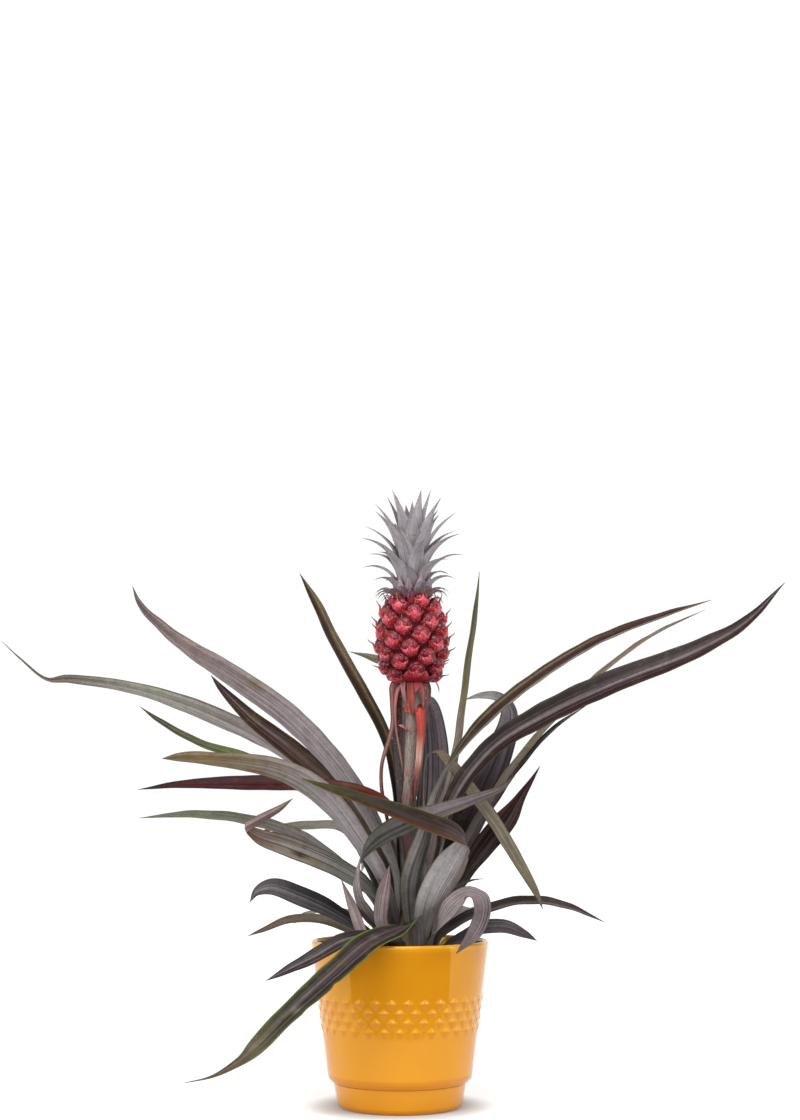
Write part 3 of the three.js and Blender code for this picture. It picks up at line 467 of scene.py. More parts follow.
# Moist peat is near black, with brown crumbs that take all gloss from it.
peat, tree, shader = new_material("peat_with_perlite", "#3A2A1F", 0.95)
where = add_node(tree, "ShaderNodeTexCoord")
crumbs = add_node(tree, "ShaderNodeTexNoise", {
    "Vector": where.outputs["Object"], "Scale": 1 / (1.6 * MM), "Detail": 5.0, "Roughness": 0.7,
})
crumb_colour = add_node(tree, "ShaderNodeMix", {
    0: crumbs.outputs["Fac"], 6: linear("#1B130E"), 7: linear("#5A4330"),
}, data_type="RGBA")
rough = add_node(tree, "ShaderNodeBump", {
    "Strength": 0.9, "Distance": 0.0012, "Height": crumbs.outputs["Fac"],
})
tree.links.new(crumb_colour.outputs[2], shader.inputs["Base Color"])
tree.links.new(rough.outputs["Normal"], shader.inputs["Normal"])
soil.data.materials.append(peat)
smooth(soil, angle=60)
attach(soil, "root")
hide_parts("potting_mix")

chance = random.Random(7)


def join_pieces(pieces, name):
    """The pieces joined to one."""
    bpy.ops.object.select_all(action="DESELECT")
    for piece in pieces:
        piece.select_set(True)
    bpy.context.view_layer.objects.active = pieces[0]
    bpy.ops.object.join()
    bpy.context.object.name = name
    return bpy.context.object


def scatter(name, count, size_range, flatness, material):
    """Grains that lie half sunk in the potting mix, round the stem."""
    grains = []
    for _ in range(count):
        angle = chance.uniform(0, 2 * math.pi)
        reach = math.sqrt(chance.uniform(*GRAIN_REACH)) * soil_r
        size = chance.uniform(*size_range)
        bpy.ops.object.select_all(action="DESELECT")
        bpy.ops.mesh.primitive_ico_sphere_add(
            subdivisions=1, radius=size,
            location=(reach * math.cos(angle), reach * math.sin(angle), SOIL_TOP_Z + size * 0.1),
            rotation=(
                chance.uniform(-GRAIN_TILT, GRAIN_TILT), chance.uniform(-GRAIN_TILT, GRAIN_TILT),
                chance.uniform(0, 6),
            ),
            scale=(1, chance.uniform(*GRAIN_NARROW), flatness),
        )
        grains.append(bpy.context.object)
    joined = join_pieces(grains, name)
    bpy.ops.object.transform_apply(location=True, rotation=True, scale=True)
    joined.data.materials.append(material)
    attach(joined, "root")


def mottled(name, colour, roughness, darker, paler, size, detail):
    """A matt material in two tones, mixed by a noise of a size on the piece's own coordinates."""
    material, tree, shader = new_material(name, colour, roughness)
    where = add_node(tree, "ShaderNodeTexCoord")
    spots = add_node(tree, "ShaderNodeTexNoise", {
        "Vector": where.outputs["Object"], "Scale": 1 / size, "Detail": detail,
    })
    tones = add_node(tree, "ShaderNodeMix", {
        0: spots.outputs["Fac"], 6: linear(darker), 7: linear(paler),
    }, data_type="RGBA")
    tree.links.new(tones.outputs[2], shader.inputs["Base Color"])
    return material, shader


# Perlite is volcanic glass that was popped by heat, white and pitted. The bark is pine, broken into
# flat red-brown chips.
perlite = mottled("expanded_perlite", "#D9D6CC", 0.9, "#B9B5A8", "#EEEBE2", 0.8 * MM, 2.0)[0]
scatter("perlite_grains", PERLITE_GRAINS, (0.9 * MM, 1.9 * MM), 0.8, perlite)
bark = mottled("pine_bark_chips", "#5B3C26", 0.9, "#3B2517", "#7B5638", 2 * MM, 3.0)[0]
scatter("bark_chips", BARK_CHIPS, (1.8 * MM, 3.6 * MM), 0.35, bark)


# The stem base is a squat woody cone, wrapped in the papery feet of old leaves. The rosette hides
# it, apart from a glimpse at the soil.
PLANT_X = 9 * MM
SCAR_DEEP = 0.5 * MM
STEM_COLUMNS = 48
STEM_PROFILE = [[0, 88], [13.2, 88], [20.5, 103], [20.5, 115], [7.4, 162], [4.6, 165], [0, 165]]
stem_profile = np.array(outline([[r * MM, z * MM] for r, z in STEM_PROFILE], 3 * MM))


def stem_corner(column, row):
    _, radius, z, angle = turned(stem_profile, column, row)
    scars = np.abs(np.sin(z * 420 + angle * 2.5)) * SCAR_DEEP
    return round_axis(np.maximum(radius - scars, 0), angle, z, PLANT_X)


stem = new_grid("woody_stem_base", STEM_COLUMNS, len(stem_profile) - 1)
place_rows(stem, stem_corner)
close_seams(stem)
smooth(stem)

# Dry sheaths are tan and papery, with fibres that run up the stem.
sheath, tree, shader = new_material("dry_leaf_sheath", "#7A6D5C", 0.8)
where = add_node(tree, "ShaderNodeTexCoord")
fibre_space = add_node(tree, "ShaderNodeMapping", {
    "Vector": where.outputs["Object"], "Scale": (1 / (1 * MM), 1 / (1 * MM), 1 / (14 * MM)),
})
fibres = add_node(tree, "ShaderNodeTexNoise", {"Vector": fibre_space.outputs["Vector"], "Scale": 1.0})
fibred = add_node(tree, "ShaderNodeMix", {
    0: fibres.outputs["Fac"], 6: linear("#4E4334"), 7: linear("#968972"),
}, data_type="RGBA")
tree.links.new(fibred.outputs[2], shader.inputs["Base Color"])
stem.data.materials.append(sheath)
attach(stem, "root")
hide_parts("stem_base")


# The leaf's upper skin is a dark waxy cuticle over parallel veins. Where the wax is rubbed it shines,
# and between the veins dust and scales lie in pale lines. Its tint and its dust come with each leaf.
def leaf_skin(name, tint_name, roughness, vein_depth, dust, gloom, stain):
    """A leaf's skin. Its pattern runs in metres across and along the blade, on the blade's own map."""
    material, tree, shader = new_material(name, "#808080", roughness)
    tint = add_node(tree, "ShaderNodeAttribute", attribute_name=tint_name)
    blade_map = add_node(tree, "ShaderNodeUVMap", uv_map="blade")
    where = add_node(tree, "ShaderNodeTexCoord")
    vein_space = add_node(tree, "ShaderNodeMapping", {
        "Vector": blade_map.outputs["UV"], "Scale": (1 / (1.1 * MM), 1 / (120 * MM), 1),
    })
    veins = add_node(tree, "ShaderNodeTexNoise", {
        "Vector": vein_space.outputs["Vector"], "Scale": 1.0, "Detail": 1.5, "Roughness": 0.6,
    })
    band_space = add_node(tree, "ShaderNodeMapping", {
        "Vector": blade_map.outputs["UV"], "Scale": (1 / (2.6 * MM), 1 / (260 * MM), 1),
        "Location": (3.1, 1.7, 0),
    })
    bands = add_node(tree, "ShaderNodeTexNoise", {
        "Vector": band_space.outputs["Vector"], "Scale": 1.0, "Detail": 2.0, "Distortion": 0.2,
    })
    patches = add_node(tree, "ShaderNodeTexNoise", {
        "Vector": where.outputs["Object"], "Scale": 1 / (9 * MM), "Detail": 4.0, "Roughness": 0.65,
    })
    scales = add_node(tree, "ShaderNodeTexNoise", {
        "Vector": where.outputs["Object"], "Scale": 1 / (1.8 * MM), "Detail": 2.0,
    })
    band_share = add_node(tree, "ShaderNodeMapRange", {
        "Value": bands.outputs["Fac"], "From Min": 0.48, "From Max": 0.56,
    })
    dust_share = add_node(tree, "ShaderNodeMath", {
        0: band_share.outputs["Result"], 1: tint.outputs["Alpha"],
    }, operation="MULTIPLY")
    dusty = add_node(tree, "ShaderNodeMix", {
        0: dust_share.outputs["Value"], 6: tint.outputs["Color"], 7: linear(dust),
    }, data_type="RGBA")
    vein_share = add_node(tree, "ShaderNodeMapRange", {
        "Value": veins.outputs["Fac"], "From Min": 0.36, "From Max": 0.5,
        "To Min": vein_depth, "To Max": 0.0,
    })
    veined = add_node(tree, "ShaderNodeMix", {
        0: vein_share.outputs["Result"], 6: dusty.outputs[2], 7: linear(gloom),
    }, data_type="RGBA")
    stain_share = add_node(tree, "ShaderNodeMapRange", {
        "Value": patches.outputs["Fac"], "From Min": 0.58, "From Max": 0.72, "To Min": 0.0, "To Max": 0.5,
    })
    stained = add_node(tree, "ShaderNodeMix", {
        0: stain_share.outputs["Result"], 6: veined.outputs[2], 7: linear(stain),
    }, data_type="RGBA")
    patch_share = add_node(tree, "ShaderNodeMapRange", {
        "Value": patches.outputs["Fac"], "From Min": 0.35, "From Max": 0.65, "To Min": 0.84, "To Max": 1.14,
    })
    scale_share = add_node(tree, "ShaderNodeMapRange", {
        "Value": scales.outputs["Fac"], "From Min": 0.3, "From Max": 0.7, "To Min": 0.9, "To Max": 1.1,
    })
    shade = add_node(tree, "ShaderNodeMath", {
        0: patch_share.outputs["Result"], 1: scale_share.outputs["Result"],
    }, operation="MULTIPLY")
    shaded = add_node(tree, "ShaderNodeVectorMath", {
        0: stained.outputs[2], "Scale": shade.outputs["Value"],
    }, operation="SCALE")
    gloss = add_node(tree, "ShaderNodeMapRange", {
        "Value": bands.outputs["Fac"], "From Min": 0.3, "From Max": 0.7,
        "To Min": roughness - 0.08, "To Max": roughness + 0.14,
    })
    ridges = add_node(tree, "ShaderNodeBump", {
        "Strength": 0.5, "Distance": 0.0003, "Height": veins.outputs["Fac"],
    })
    tree.links.new(shaded.outputs["Vector"], shader.inputs["Base Color"])
    tree.links.new(gloss.outputs["Result"], shader.inputs["Roughness"])
    tree.links.new(ridges.outputs["Normal"], shader.inputs["Normal"])
    return material, shader


waxy_skin, shader = leaf_skin(
    "waxy_upper_cuticle", "upper_tint", 0.36, 0.65, "#968B8D", "#120A0A", "#4A4420",
)
shader.inputs["Specular IOR Level"].default_value = 0.1

# The underside is felted with tiny silver scales, which scatter the light, so that it looks pale,
# matt and finely lined.
silver_skin, shader = leaf_skin(
    "silver_scaled_underside", "under_tint", 0.6, 0.5, "#BDB6B4", "#403236", "#6A6648",
)
shader.inputs["Specular IOR Level"].default_value = 0.2

# A blade grows broad and cupped from its foot to a drawn-out tip, thickest along its middle, with
# pleats near the foot and a wavy edge, which is tinted where the small teeth stand.
ACROSS = 16
ALONG_A_SPAN = 9
BLADE_THICK = 1.15 * MM
CUP_BALANCE = 0.85
NEARBY = 0.02
TIP_WIDE = 0.35
PLEATS, WAVES = 3, 4
EDGE_THIN, LEAST_THICK = 0.65, 0.25
EDGE_STARTS, EDGE_STRENGTH, EDGE_GLOOM = 0.88, 0.8, 0.65
ROOT_LEAN = 1.6


def through(points, place):
    """A point of the smooth curve through points of any number of values, spaced by the distance
    between their first three. Its place runs from 0 to the number of spans."""
    last = len(points) - 1
    span = min(int(place), last - 1)
    t = place - span
    p1, p2 = points[span], points[span + 1]
    p0 = points[span - 1] if span > 0 else 2 * p1 - p2
    p3 = points[span + 2] if span + 2 <= last else 2 * p2 - p1
    d0, d1, d2 = (math.sqrt(np.linalg.norm((b - a)[:3])) for a, b in ((p0, p1), (p1, p2), (p2, p3)))
    start = d1 * ((p1 - p0) / d0 - (p2 - p0) / (d0 + d1) + (p2 - p1) / d1)
    end = d1 * ((p2 - p1) / d1 - (p3 - p1) / (d1 + d2) + (p3 - p2) / d2)
    rise = p2 - p1
    return p1 + start * t + (3 * rise - 2 * start - end) * t * t + (start + end - 2 * rise) * t ** 3


def between(stops, share):
    """The blend of evenly spaced stops at a share from 0 to 1."""
    stops = np.asarray(stops, float)
    place = np.clip(share, 0, 1) * (len(stops) - 1)
    first = np.minimum(place.astype(int), len(stops) - 2)
    part = (place - first)[:, None]
    return stops[first] * (1 - part) + stops[first + 1] * part


def unit(rows):
    return rows / np.linalg.norm(rows, axis=1)[:, None]


def tinted(colours, colour, share):
    """Colours moved towards a hex colour, each by a share of its own."""
    return colours * (1 - share[:, None]) + np.array(linear(colour)) * share[:, None]


def set_tint(piece, name, colours):
    """Stores a colour with each vertex."""
    attribute = piece.data.attributes.new(name, "FLOAT_COLOR", "POINT")
    attribute.data.foreach_set("color", colours.ravel())


def blade(name, path, faces, upper, under, edge="#6A6B45", cup=0.13, ripple=0.5, pleat=0.26,
          dust=(0.3, 0.4), stripes=(), marks=(), nicks=(), along=ALONG_A_SPAN, across=ACROSS,
          thick=BLADE_THICK):
    """A leaf blade with its skins. path is [x, y, z, width] in millimetres from root to tip, and
    faces are the ways that its upper side looks. upper and under are colours from root to tip, and
    dust is how much of each side's bands is pale. stripes run along the blade, [place across, half
    width, colour, strength]: partly the blade's own bands, and partly painted highlights and painted
    shade across its gloss. marks are [place along, place across, length, colour] of scars, and
    nicks [place along, side, length, depth] of missing bits of edge."""
    chance = random.Random(name)
    path = np.array(path, float)
    path[-1, 3] = TIP_WIDE
    spans = len(path) - 1
    rows = spans * along
    places = np.linspace(0, spans, rows + 1)
    line, ahead, back = (
        np.array([through(path, min(max(p + step, 0), spans)) for p in places])
        for step in (0, NEARBY, -NEARBY)
    )
    tangent = unit((ahead - back)[:, :3])
    width = np.maximum(line[:, 3], TIP_WIDE)
    face = between(unit(np.array(faces, float)), places / spans)
    face = unit(face - tangent * np.sum(face * tangent, axis=1)[:, None])
    sideways = np.cross(tangent, face)
    length = np.concatenate([[0], np.cumsum(np.linalg.norm(np.diff(line[:, :3], axis=0), axis=1))])
    waves = [(chance.uniform(22, 46), chance.uniform(0, 6.3), chance.uniform(0.5, 1))
             for _ in range(WAVES)]

    grid = new_grid(name, across, rows)
    at = corners(grid)
    side = np.sign(at[:, 0]) * (1 - (1 - np.abs(at[:, 0]) * 2) ** 1.4)
    ring = np.round((at[:, 1] + 0.5) * rows).astype(int)
    share = (length / length[-1])[ring]
    wide = width[ring]
    for place, which, nick_length, depth in nicks:
        near = np.clip(1 - np.abs(share - place) * length[-1] / nick_length, 0, 1)
        wide -= np.where(side * which > 0.6, depth * 2 * np.sqrt(near), 0)
    lift = cup * wide * (side ** 2 - CUP_BALANCE)
    lift += pleat * np.minimum(wide / 12, 1) * np.cos(side * math.pi * PLEATS) * (1 - share)
    for wave_length, phase, size in waves:
        sway = np.sin(length[ring] * 2 * math.pi / wave_length + phase + side * 1.3)
        lift += ripple * size * 0.4 * np.minimum(wide / 10, 1) * side * np.abs(side) * sway
    at = line[ring, :3] + sideways[ring] * (side * wide / 2)[:, None] + face[ring] * lift[:, None]
    grid.data.vertices.foreach_set("co", (at * MM).ravel())

    rim = np.clip((np.abs(side) - EDGE_STARTS) / (1 - EDGE_STARTS), 0, 1)[:, None]
    rim = rim * (EDGE_STRENGTH if edge else 0)
    margin = np.array(linear(edge or upper[0])) * EDGE_GLOOM
    for tint_name, stops, dust_share in (("upper_tint", upper, dust[0]), ("under_tint", under, dust[1])):
        colours = between([linear(c) for c in stops], share)
        # Stripes paint the blade's own bands, and painted highlights and painted shade across its gloss.
        for across_place, half, colour, strength in stripes:
            near = np.clip(1.5 - np.abs(side - across_place) / half, 0, 1)
            colours = tinted(colours, colour, near * strength)
        colours = colours * (1 - rim) + margin * rim
        for place, across_place, mark_length, colour in marks:
            far = np.hypot((share - place) * length[-1] / mark_length, (side - across_place) / 0.35)
            colours = tinted(colours, colour, np.clip(1.4 - far, 0, 1))
        colours[:, 3] = dust_share * (1 - 0.8 * side ** 2)
        set_tint(grid, tint_name, colours)

    blade_map = grid.data.uv_layers[0]
    blade_map.name = "blade"
    corner_vertex = np.empty(len(grid.data.loops), int)
    grid.data.loops.foreach_get("vertex_index", corner_vertex)
    spot = np.stack([side * 10 * MM, length[ring] * MM + chance.uniform(0, 5)], axis=1)
    blade_map.data.foreach_set("uv", spot[corner_vertex].ravel())

    body = grid.vertex_groups.new(name="thickness")
    weight = (1 - EDGE_THIN * side ** 2) * np.clip(wide / 5, LEAST_THICK, 1)
    for index, value in enumerate(weight):
        body.add([index], float(value), "REPLACE")
    grid.data.materials.append(waxy_skin)
    grid.data.materials.append(silver_skin)
    wall = grid.modifiers.new("wall", "SOLIDIFY")
    wall.thickness = thick
    wall.offset = 0
    wall.vertex_group = "thickness"
    wall.material_offset = 1
    bpy.ops.object.modifier_apply(modifier="wall")
    grid.vertex_groups.clear()
    smooth(grid)
    return grid


def leaf(node, path, ways, upper, under, **shape):
    """A leaf of the rosette, which stands for its CAD node. Its upper side looks at the plant's axis
    where it leaves the stem."""
    x, y = path[0][:2]
    inward = [PLANT_X / MM - x, -y, ROOT_LEAN]
    piece = blade(node.replace("leaf", "blade"), path, [inward, *ways], upper, under, **shape)
    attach(piece, "root")
    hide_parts(node)


# The long leaves to the left, from the highest to the lowest. Most turn their silver underside to
# the viewer.
leaf("leaf_left_high", [
    [-1, -1, 147, 14], [-3, -12, 185, 19], [-16, -16, 215, 22], [-42, -20, 258.8, 25], [-84, -20, 304, 25],
    [-131, -16, 338, 22], [-174.6, -10, 366.8, 14], [-204, -5, 394.6, 6], [-210, -4, 409, 1.2],
], [[2, 3, 2], [2, 3, 2]],
    ["#4A4340", "#3F2C2B", "#3F2C2B"],
    ["#7E8177", "#9A9493", "#978C90", "#8F8285", "#8E7F80", "#7B6763", "#453836"],
    marks=[(0.66, 0.2, 5, "#6E5A44"), (0.63, -0.6, 7, "#74633F"), (0.46, 0.1, 2.5, "#4A3C38")])
leaf("leaf_left_far", [
    [0, 9, 140, 13], [-13, 22, 187, 18], [-48, 34, 239.5, 28], [-97, 42, 281.5, 29], [-146, 48, 307.4, 24],
    [-212, 54, 331, 14], [-270, 58, 340, 9], [-289, 60, 340, 4], [-311, 60, 357, 2], [-326, 60, 371, 1.2],
], [[3, 6, 6], [2, 6, 6]],
    ["#4A4340", "#4B4038", "#5A4A38"],
    ["#7A7C72", "#786E6C", "#786C6D", "#807475", "#857E78", "#8A8A7C", "#5A4A3C", "#3C2A26"])
leaf("leaf_left_dark", [
    [-2, 3, 141, 13], [-13, 8, 200, 16], [-42, 12, 242.5, 18.5], [-85.5, 13, 281, 18.5],
    [-118.5, 13, 306.5, 14], [-142, 12, 330, 6], [-150, 12, 340, 1.2],
], [[4, -8, 4], [4, -8, 4]],
    ["#4F4848", "#40302C", "#3C261E", "#36221A", "#321E1A", "#2E1A1A"],
    ["#8E8488", "#857B7B", "#7C6A66"], edge="#5C5230", dust=(0.14, 0.4),
    stripes=[(0.1, 0.1, "#8A7A70", 0.35), (-0.35, 0.07, "#857468", 0.3)])
leaf("leaf_left_green", [
    [-5, 2, 133, 10], [-25, 15, 187, 12], [-65, 50, 249, 13], [-129, 84, 277, 12], [-167, 90, 289, 9],
    [-200, 90, 307, 6], [-217, 90, 319, 1.2],
], [[2, -6, 7], [2, -6, 7]],
    ["#4F4A42", "#4A4438", "#50582A", "#5A6C22", "#4E5426", "#3A2E22"],
    ["#858A78", "#7A8458", "#6E7A40"], edge="#6C7C34")
leaf("leaf_left_silver", [
    [-2, -5, 139, 14], [-11, -34, 176, 19], [-34.8, -42, 216.4, 25], [-60, -50, 246, 27],
    [-90, -58, 263.4, 23], [-135, -66, 271.2, 15], [-165, -68, 273, 10], [-179, -68, 272, 1.5],
], [[4, 6, 4], [1, 6, 8]],
    ["#4A4340", "#3F2C2B", "#4A3A2C"],
    ["#7F8079", "#9C9494", "#A49B9E", "#A0979A", "#9C9290", "#8E7E6A", "#8A7446", "#6E5E38"],
    edge="#6E5A44", marks=[(0.72, 0.5, 9, "#86663A"), (0.2, 0.2, 4, "#5E504C")])
leaf("leaf_left_maroon", [
    [2, -4, 152, 8], [1, -19, 211, 11], [-6, -28, 233, 12], [-22, -34, 245, 12.5], [-62, -34, 252.6, 15],
    [-116, -33, 254.2, 16], [-170, -31, 253, 8], [-202, -30, 249, 1.2],
], [[6, -5, 4], [0, -7, 7], [0, -7, 7]],
    ["#5E3A33", "#5E2012", "#5A1C0A", "#461A14", "#3C1414", "#3E1A1E", "#341A1E"],
    ["#8C7A78", "#86706E", "#7C6664"], edge="#5A2E28", dust=(0.05, 0.4))
leaf("leaf_left_folded", [
    [-3, -7, 134, 12], [-19, -36, 169, 18], [-46, -44, 188.6, 19.5], [-83, -47, 204.6, 19.5],
    [-109.5, -47, 214, 15.5], [-116.5, -51, 219.5, 9], [-109.5, -57, 224.5, 7.5], [-92, -59, 234, 5],
    [-81, -60, 242, 1.2],
], [[2, -6, 6], [0, -7, 6], [7, -2, 3], [0, 7, -2], [0, 7, -2]],
    ["#5D5F5A", "#676961", "#6C6C64", "#777067", "#7A5E48", "#6E5A50"],
    ["#8E8488", "#8A8084", "#8C8286", "#877C80", "#6A4C4A", "#4A2C2C"],
    edge="#6C5A48", marks=[(0.56, -0.2, 7, "#3A2C20"), (0.5, -0.4, 6, "#756854")])
leaf("leaf_left_pale", [
    [-6, -4, 130, 12], [-22, -19, 166, 16], [-54, -21, 198, 16], [-85, -22, 216, 14.5],
    [-120, -22, 226.2, 12.5], [-162, -22, 230, 9.5], [-202, -22, 227, 1.2],
], [[2, -6, 7], [0, -5, 8]],
    ["#6E6F68", "#7E7876", "#87807C", "#847C78", "#7F8270", "#74785E", "#5E604A"],
    ["#8E8488", "#8A8480", "#7C806E"], edge="#6E6A4A")
leaf("leaf_left_behind", [
    [-4, 7, 130, 11], [-24, 52, 191, 14], [-46, 80, 218, 18], [-76, 100, 220, 16], [-101, 108, 218, 10],
    [-117, 110, 215, 1.5],
], [[2, -5, 8], [0, -5, 8]],
    ["#6A6A62", "#7C7674", "#827A78", "#807A6E", "#767660"], ["#8E8488", "#858A78"])
leaf("leaf_low_left_curl", [
    [-8, -5, 120, 12], [-25, -22, 138, 18], [-50, -30, 154.6, 19.5], [-76, -36, 167, 19.5],
    [-98.5, -40, 174.4, 14.5], [-109.5, -41, 171, 8], [-115, -41, 162.5, 1.5],
], [[3, -7, 6], [-7, -7, 2]],
    ["#484846", "#343437", "#333235", "#3E3C3E", "#5A5658", "#443E3E"],
    ["#8E8488", "#80797C", "#6E6466"], edge="#4A4640",
    stripes=[(0.0, 0.14, "#9A9A9C", 0.4)])
leaf("leaf_low_left_tan", [
    [-8, 5, 120, 12], [-36, 16, 136, 13], [-60, 20, 145.6, 12], [-88, 24, 145.6, 11], [-110, 26, 137, 6],
    [-122, 26, 132, 1.2],
], [[0, -5, 8], [-5, -5, 7]],
    ["#6A6250", "#756B56", "#7A7060", "#6E5E4A", "#54443A"], ["#857B70", "#80766A"], edge="#6A5A3C")
leaf("leaf_low_left_dark", [
    [-4, -11, 124, 9], [-22, -50.4, 138, 14], [-42, -63, 135.8, 15], [-63, -72, 124.6, 14],
    [-82, -76, 115, 9], [-100, -79, 106, 1.2],
], [[-2, -7, 7], [-3, -7, 6]],
    ["#45403F", "#342C2C", "#342A2C", "#30262A", "#281E22"], ["#80767A", "#746A6C"], edge="#3E3836",
    stripes=[(0.1, 0.12, "#94908F", 0.45)])


# The leaves at the front. One droops over the rim with a torn edge and a withered tail, one is
# folded back on itself, and one arcs across them.
leaf("leaf_drooping", [
    [14, -17, 121, 12], [11, -35, 147, 17], [-3, -55, 143.4, 22], [-24, -75, 134.6, 25],
    [-51, -92, 111.8, 23.5], [-81, -103, 85, 20], [-105, -110, 61, 17], [-117, -112, 50, 9],
    [-137, -114, 39.6, 2.5], [-157, -115, 35, 1.2],
], [[-2, -6, 8], [-5, -7, 5], [-5, -7, 5], [-5, -7, 5]],
    ["#6A6060", "#4A4040", "#2E2222", "#281A18", "#2A1E1A", "#302820", "#363422", "#5E563C", "#5A4038",
     "#4E3A34"],
    ["#8E8488", "#857B7F", "#7C7274", "#6E5A50"], edge="#7EA832", ripple=0.7, dust=(0.12, 0.4),
    stripes=[(0.3, 0.1, "#8E8482", 0.35), (-0.35, 0.08, "#7E7472", 0.3)],
    marks=[(0.3, 0.3, 1.6, "#7A7270"), (0.62, -0.1, 3, "#7A7068")],
    nicks=[(0.42, -1, 5, 1.2), (0.5, -1, 4, 1.6), (0.6, -1, 6, 1.1)])
leaf("leaf_front_folded", [
    [16, -12, 130, 13], [23, -40, 164, 22], [37, -46, 189, 24], [47, -52, 203, 18], [51, -60, 209, 14],
    [40, -68, 217, 15], [11, -72, 228, 15], [-23, -72, 240, 12], [-53, -71, 250, 7], [-74, -70, 257, 1.2],
], [[0, 9, 1], [9, 5, 0], [2, -9, 3], [2, -7, 6], [2, -7, 6]],
    ["#5A5654", "#625C5C", "#685E60", "#504244", "#34261E", "#2C2218", "#302C16", "#3E481C"],
    ["#8E9088", "#A09C9A", "#9E989A", "#928A8E", "#8A8084", "#7A6E70"], edge="#6E6A3A", dust=(0.03, 0.4),
    stripes=[(-0.75, 0.2, "#5E2E1E", 0.5)])
leaf("leaf_front_arc", [
    [0, -13, 128, 11], [-24, -36, 153, 14], [-32, -57, 173, 11], [-31, -60, 190, 10], [-20, -59, 209, 13],
    [4, -58, 224, 16], [31, -57, 233, 14], [57, -56, 242, 10], [77, -55, 250, 6], [87, -54, 259, 1.2],
], [[5, 8, 0], [9, 1, 0], [2, -9, 0], [-3, -8, 5], [-3, -7, 6], [-3, -7, 6]],
    ["#908C88", "#9E9A96", "#78786F", "#6C6E66", "#645C5C", "#605456", "#4E4440"],
    ["#7E7072", "#8A7C7E", "#887A7C"], edge="#5E6E38", dust=(0.12, 0.4),
    stripes=[(0.3, 0.25, "#3A3234", 0.5), (-0.2, 0.15, "#8A8484", 0.3)])
leaf("leaf_front_left_shoot", [
    [0, -15, 120, 9], [-17, -34, 124, 9], [-29, -40, 140, 9], [-36, -40, 158, 8], [-45, -39, 180, 1.2],
], [[3, 9, 2], [3, 9, 2]],
    ["#5A4C4C", "#54484A"], ["#7E6E6E", "#907D7C", "#937F7E", "#8A7474"], edge="#8A7470")
leaf("leaf_front_shoot", [
    [3, -15, 125, 8], [-5, -32, 134, 9], [-14, -41, 146, 10], [-14, -49, 163, 11], [-11, -51, 178, 8],
    [-8, -51, 191, 1.2],
], [[1, 9, 2], [1, 9, 2]],
    ["#5A4C4C", "#54484A"], ["#786A6A", "#8C7A7A", "#8F7C7D", "#846E70", "#704C4A"], edge="#84686A")


# Narrow young leaves stand stiffly beside and behind the flower stalk, from the middle of the
# rosette. One crosses the stalk and arches over to the right.
leaf("leaf_stalk_left", [
    [1, 3, 152, 8], [-2, 16, 241, 11], [-10.6, 20, 289.5, 12], [-29, 26, 326.5, 11.5], [-52, 32, 368, 10.5],
    [-68, 36, 401, 8], [-81, 38, 424, 1.2],
], [[5, -9, 2], [5, -9, 2]],
    ["#3E322E", "#36261E", "#3C2C22", "#4E3E32", "#6A584C", "#604E44"], ["#6E6658", "#6A6250"],
    edge="#6E6A3C", dust=(0.05, 0.4), stripes=[(-0.5, 0.4, "#221610", 0.8), (0.4, 0.13, "#8A7E58", 0.65)])
leaf("leaf_stalk_right", [
    [14, 6, 151, 8], [29, 26, 221, 12], [41.2, 32, 261, 12], [49.6, 42, 310, 12.5], [55.6, 50, 355, 11.5],
    [61.2, 56, 392, 8.5], [65, 60, 428, 1.2],
], [[-9, -4, 2], [-9, -4, 2]],
    ["#8C7A74", "#9C8884", "#A28E8A", "#9C8A80", "#8A845E", "#6E6A46", "#4A463A"],
    ["#7E7478", "#7A7070", "#6E6C54"], edge="#6E6A48", dust=(0.1, 0.4))
leaf("leaf_behind_small", [
    [8, 10, 152, 7], [9, 26, 240, 8], [3, 38, 322, 9], [-10, 46, 351, 9], [-23, 50, 357, 8],
    [-42, 52, 362, 1.2],
], [[0, -9, 3], [0, -4, 9]],
    ["#6E6C64", "#767468", "#7C7E6C", "#6E745C"], ["#80827A", "#848A7A", "#7C8468"])
leaf("leaf_over_stalk", [
    [17, -4, 150, 6], [19, 2, 205, 7], [18, 8, 246, 6], [19, 9, 267, 5], [22, 9, 277, 5],
    [30, 10, 279, 6], [40, 10, 270, 10], [54, 2, 252, 14], [75.4, -8, 222, 14.5], [93.4, -14, 191, 12],
    [105, -16, 171, 7.5], [111, -18, 156, 1.2],
], [[-9, 0, 1], [-9, -2, 4], [3, -6, 7], [5, -7, 5], [5, -7, 5]],
    ["#5E4A40", "#5A3A38", "#5A3A3A", "#644640", "#7A6858", "#827868", "#7C7460", "#6E6850", "#5A5242"],
    ["#7E7478", "#7A7462"], edge="#6E5A3C", dust=(0.2, 0.4))


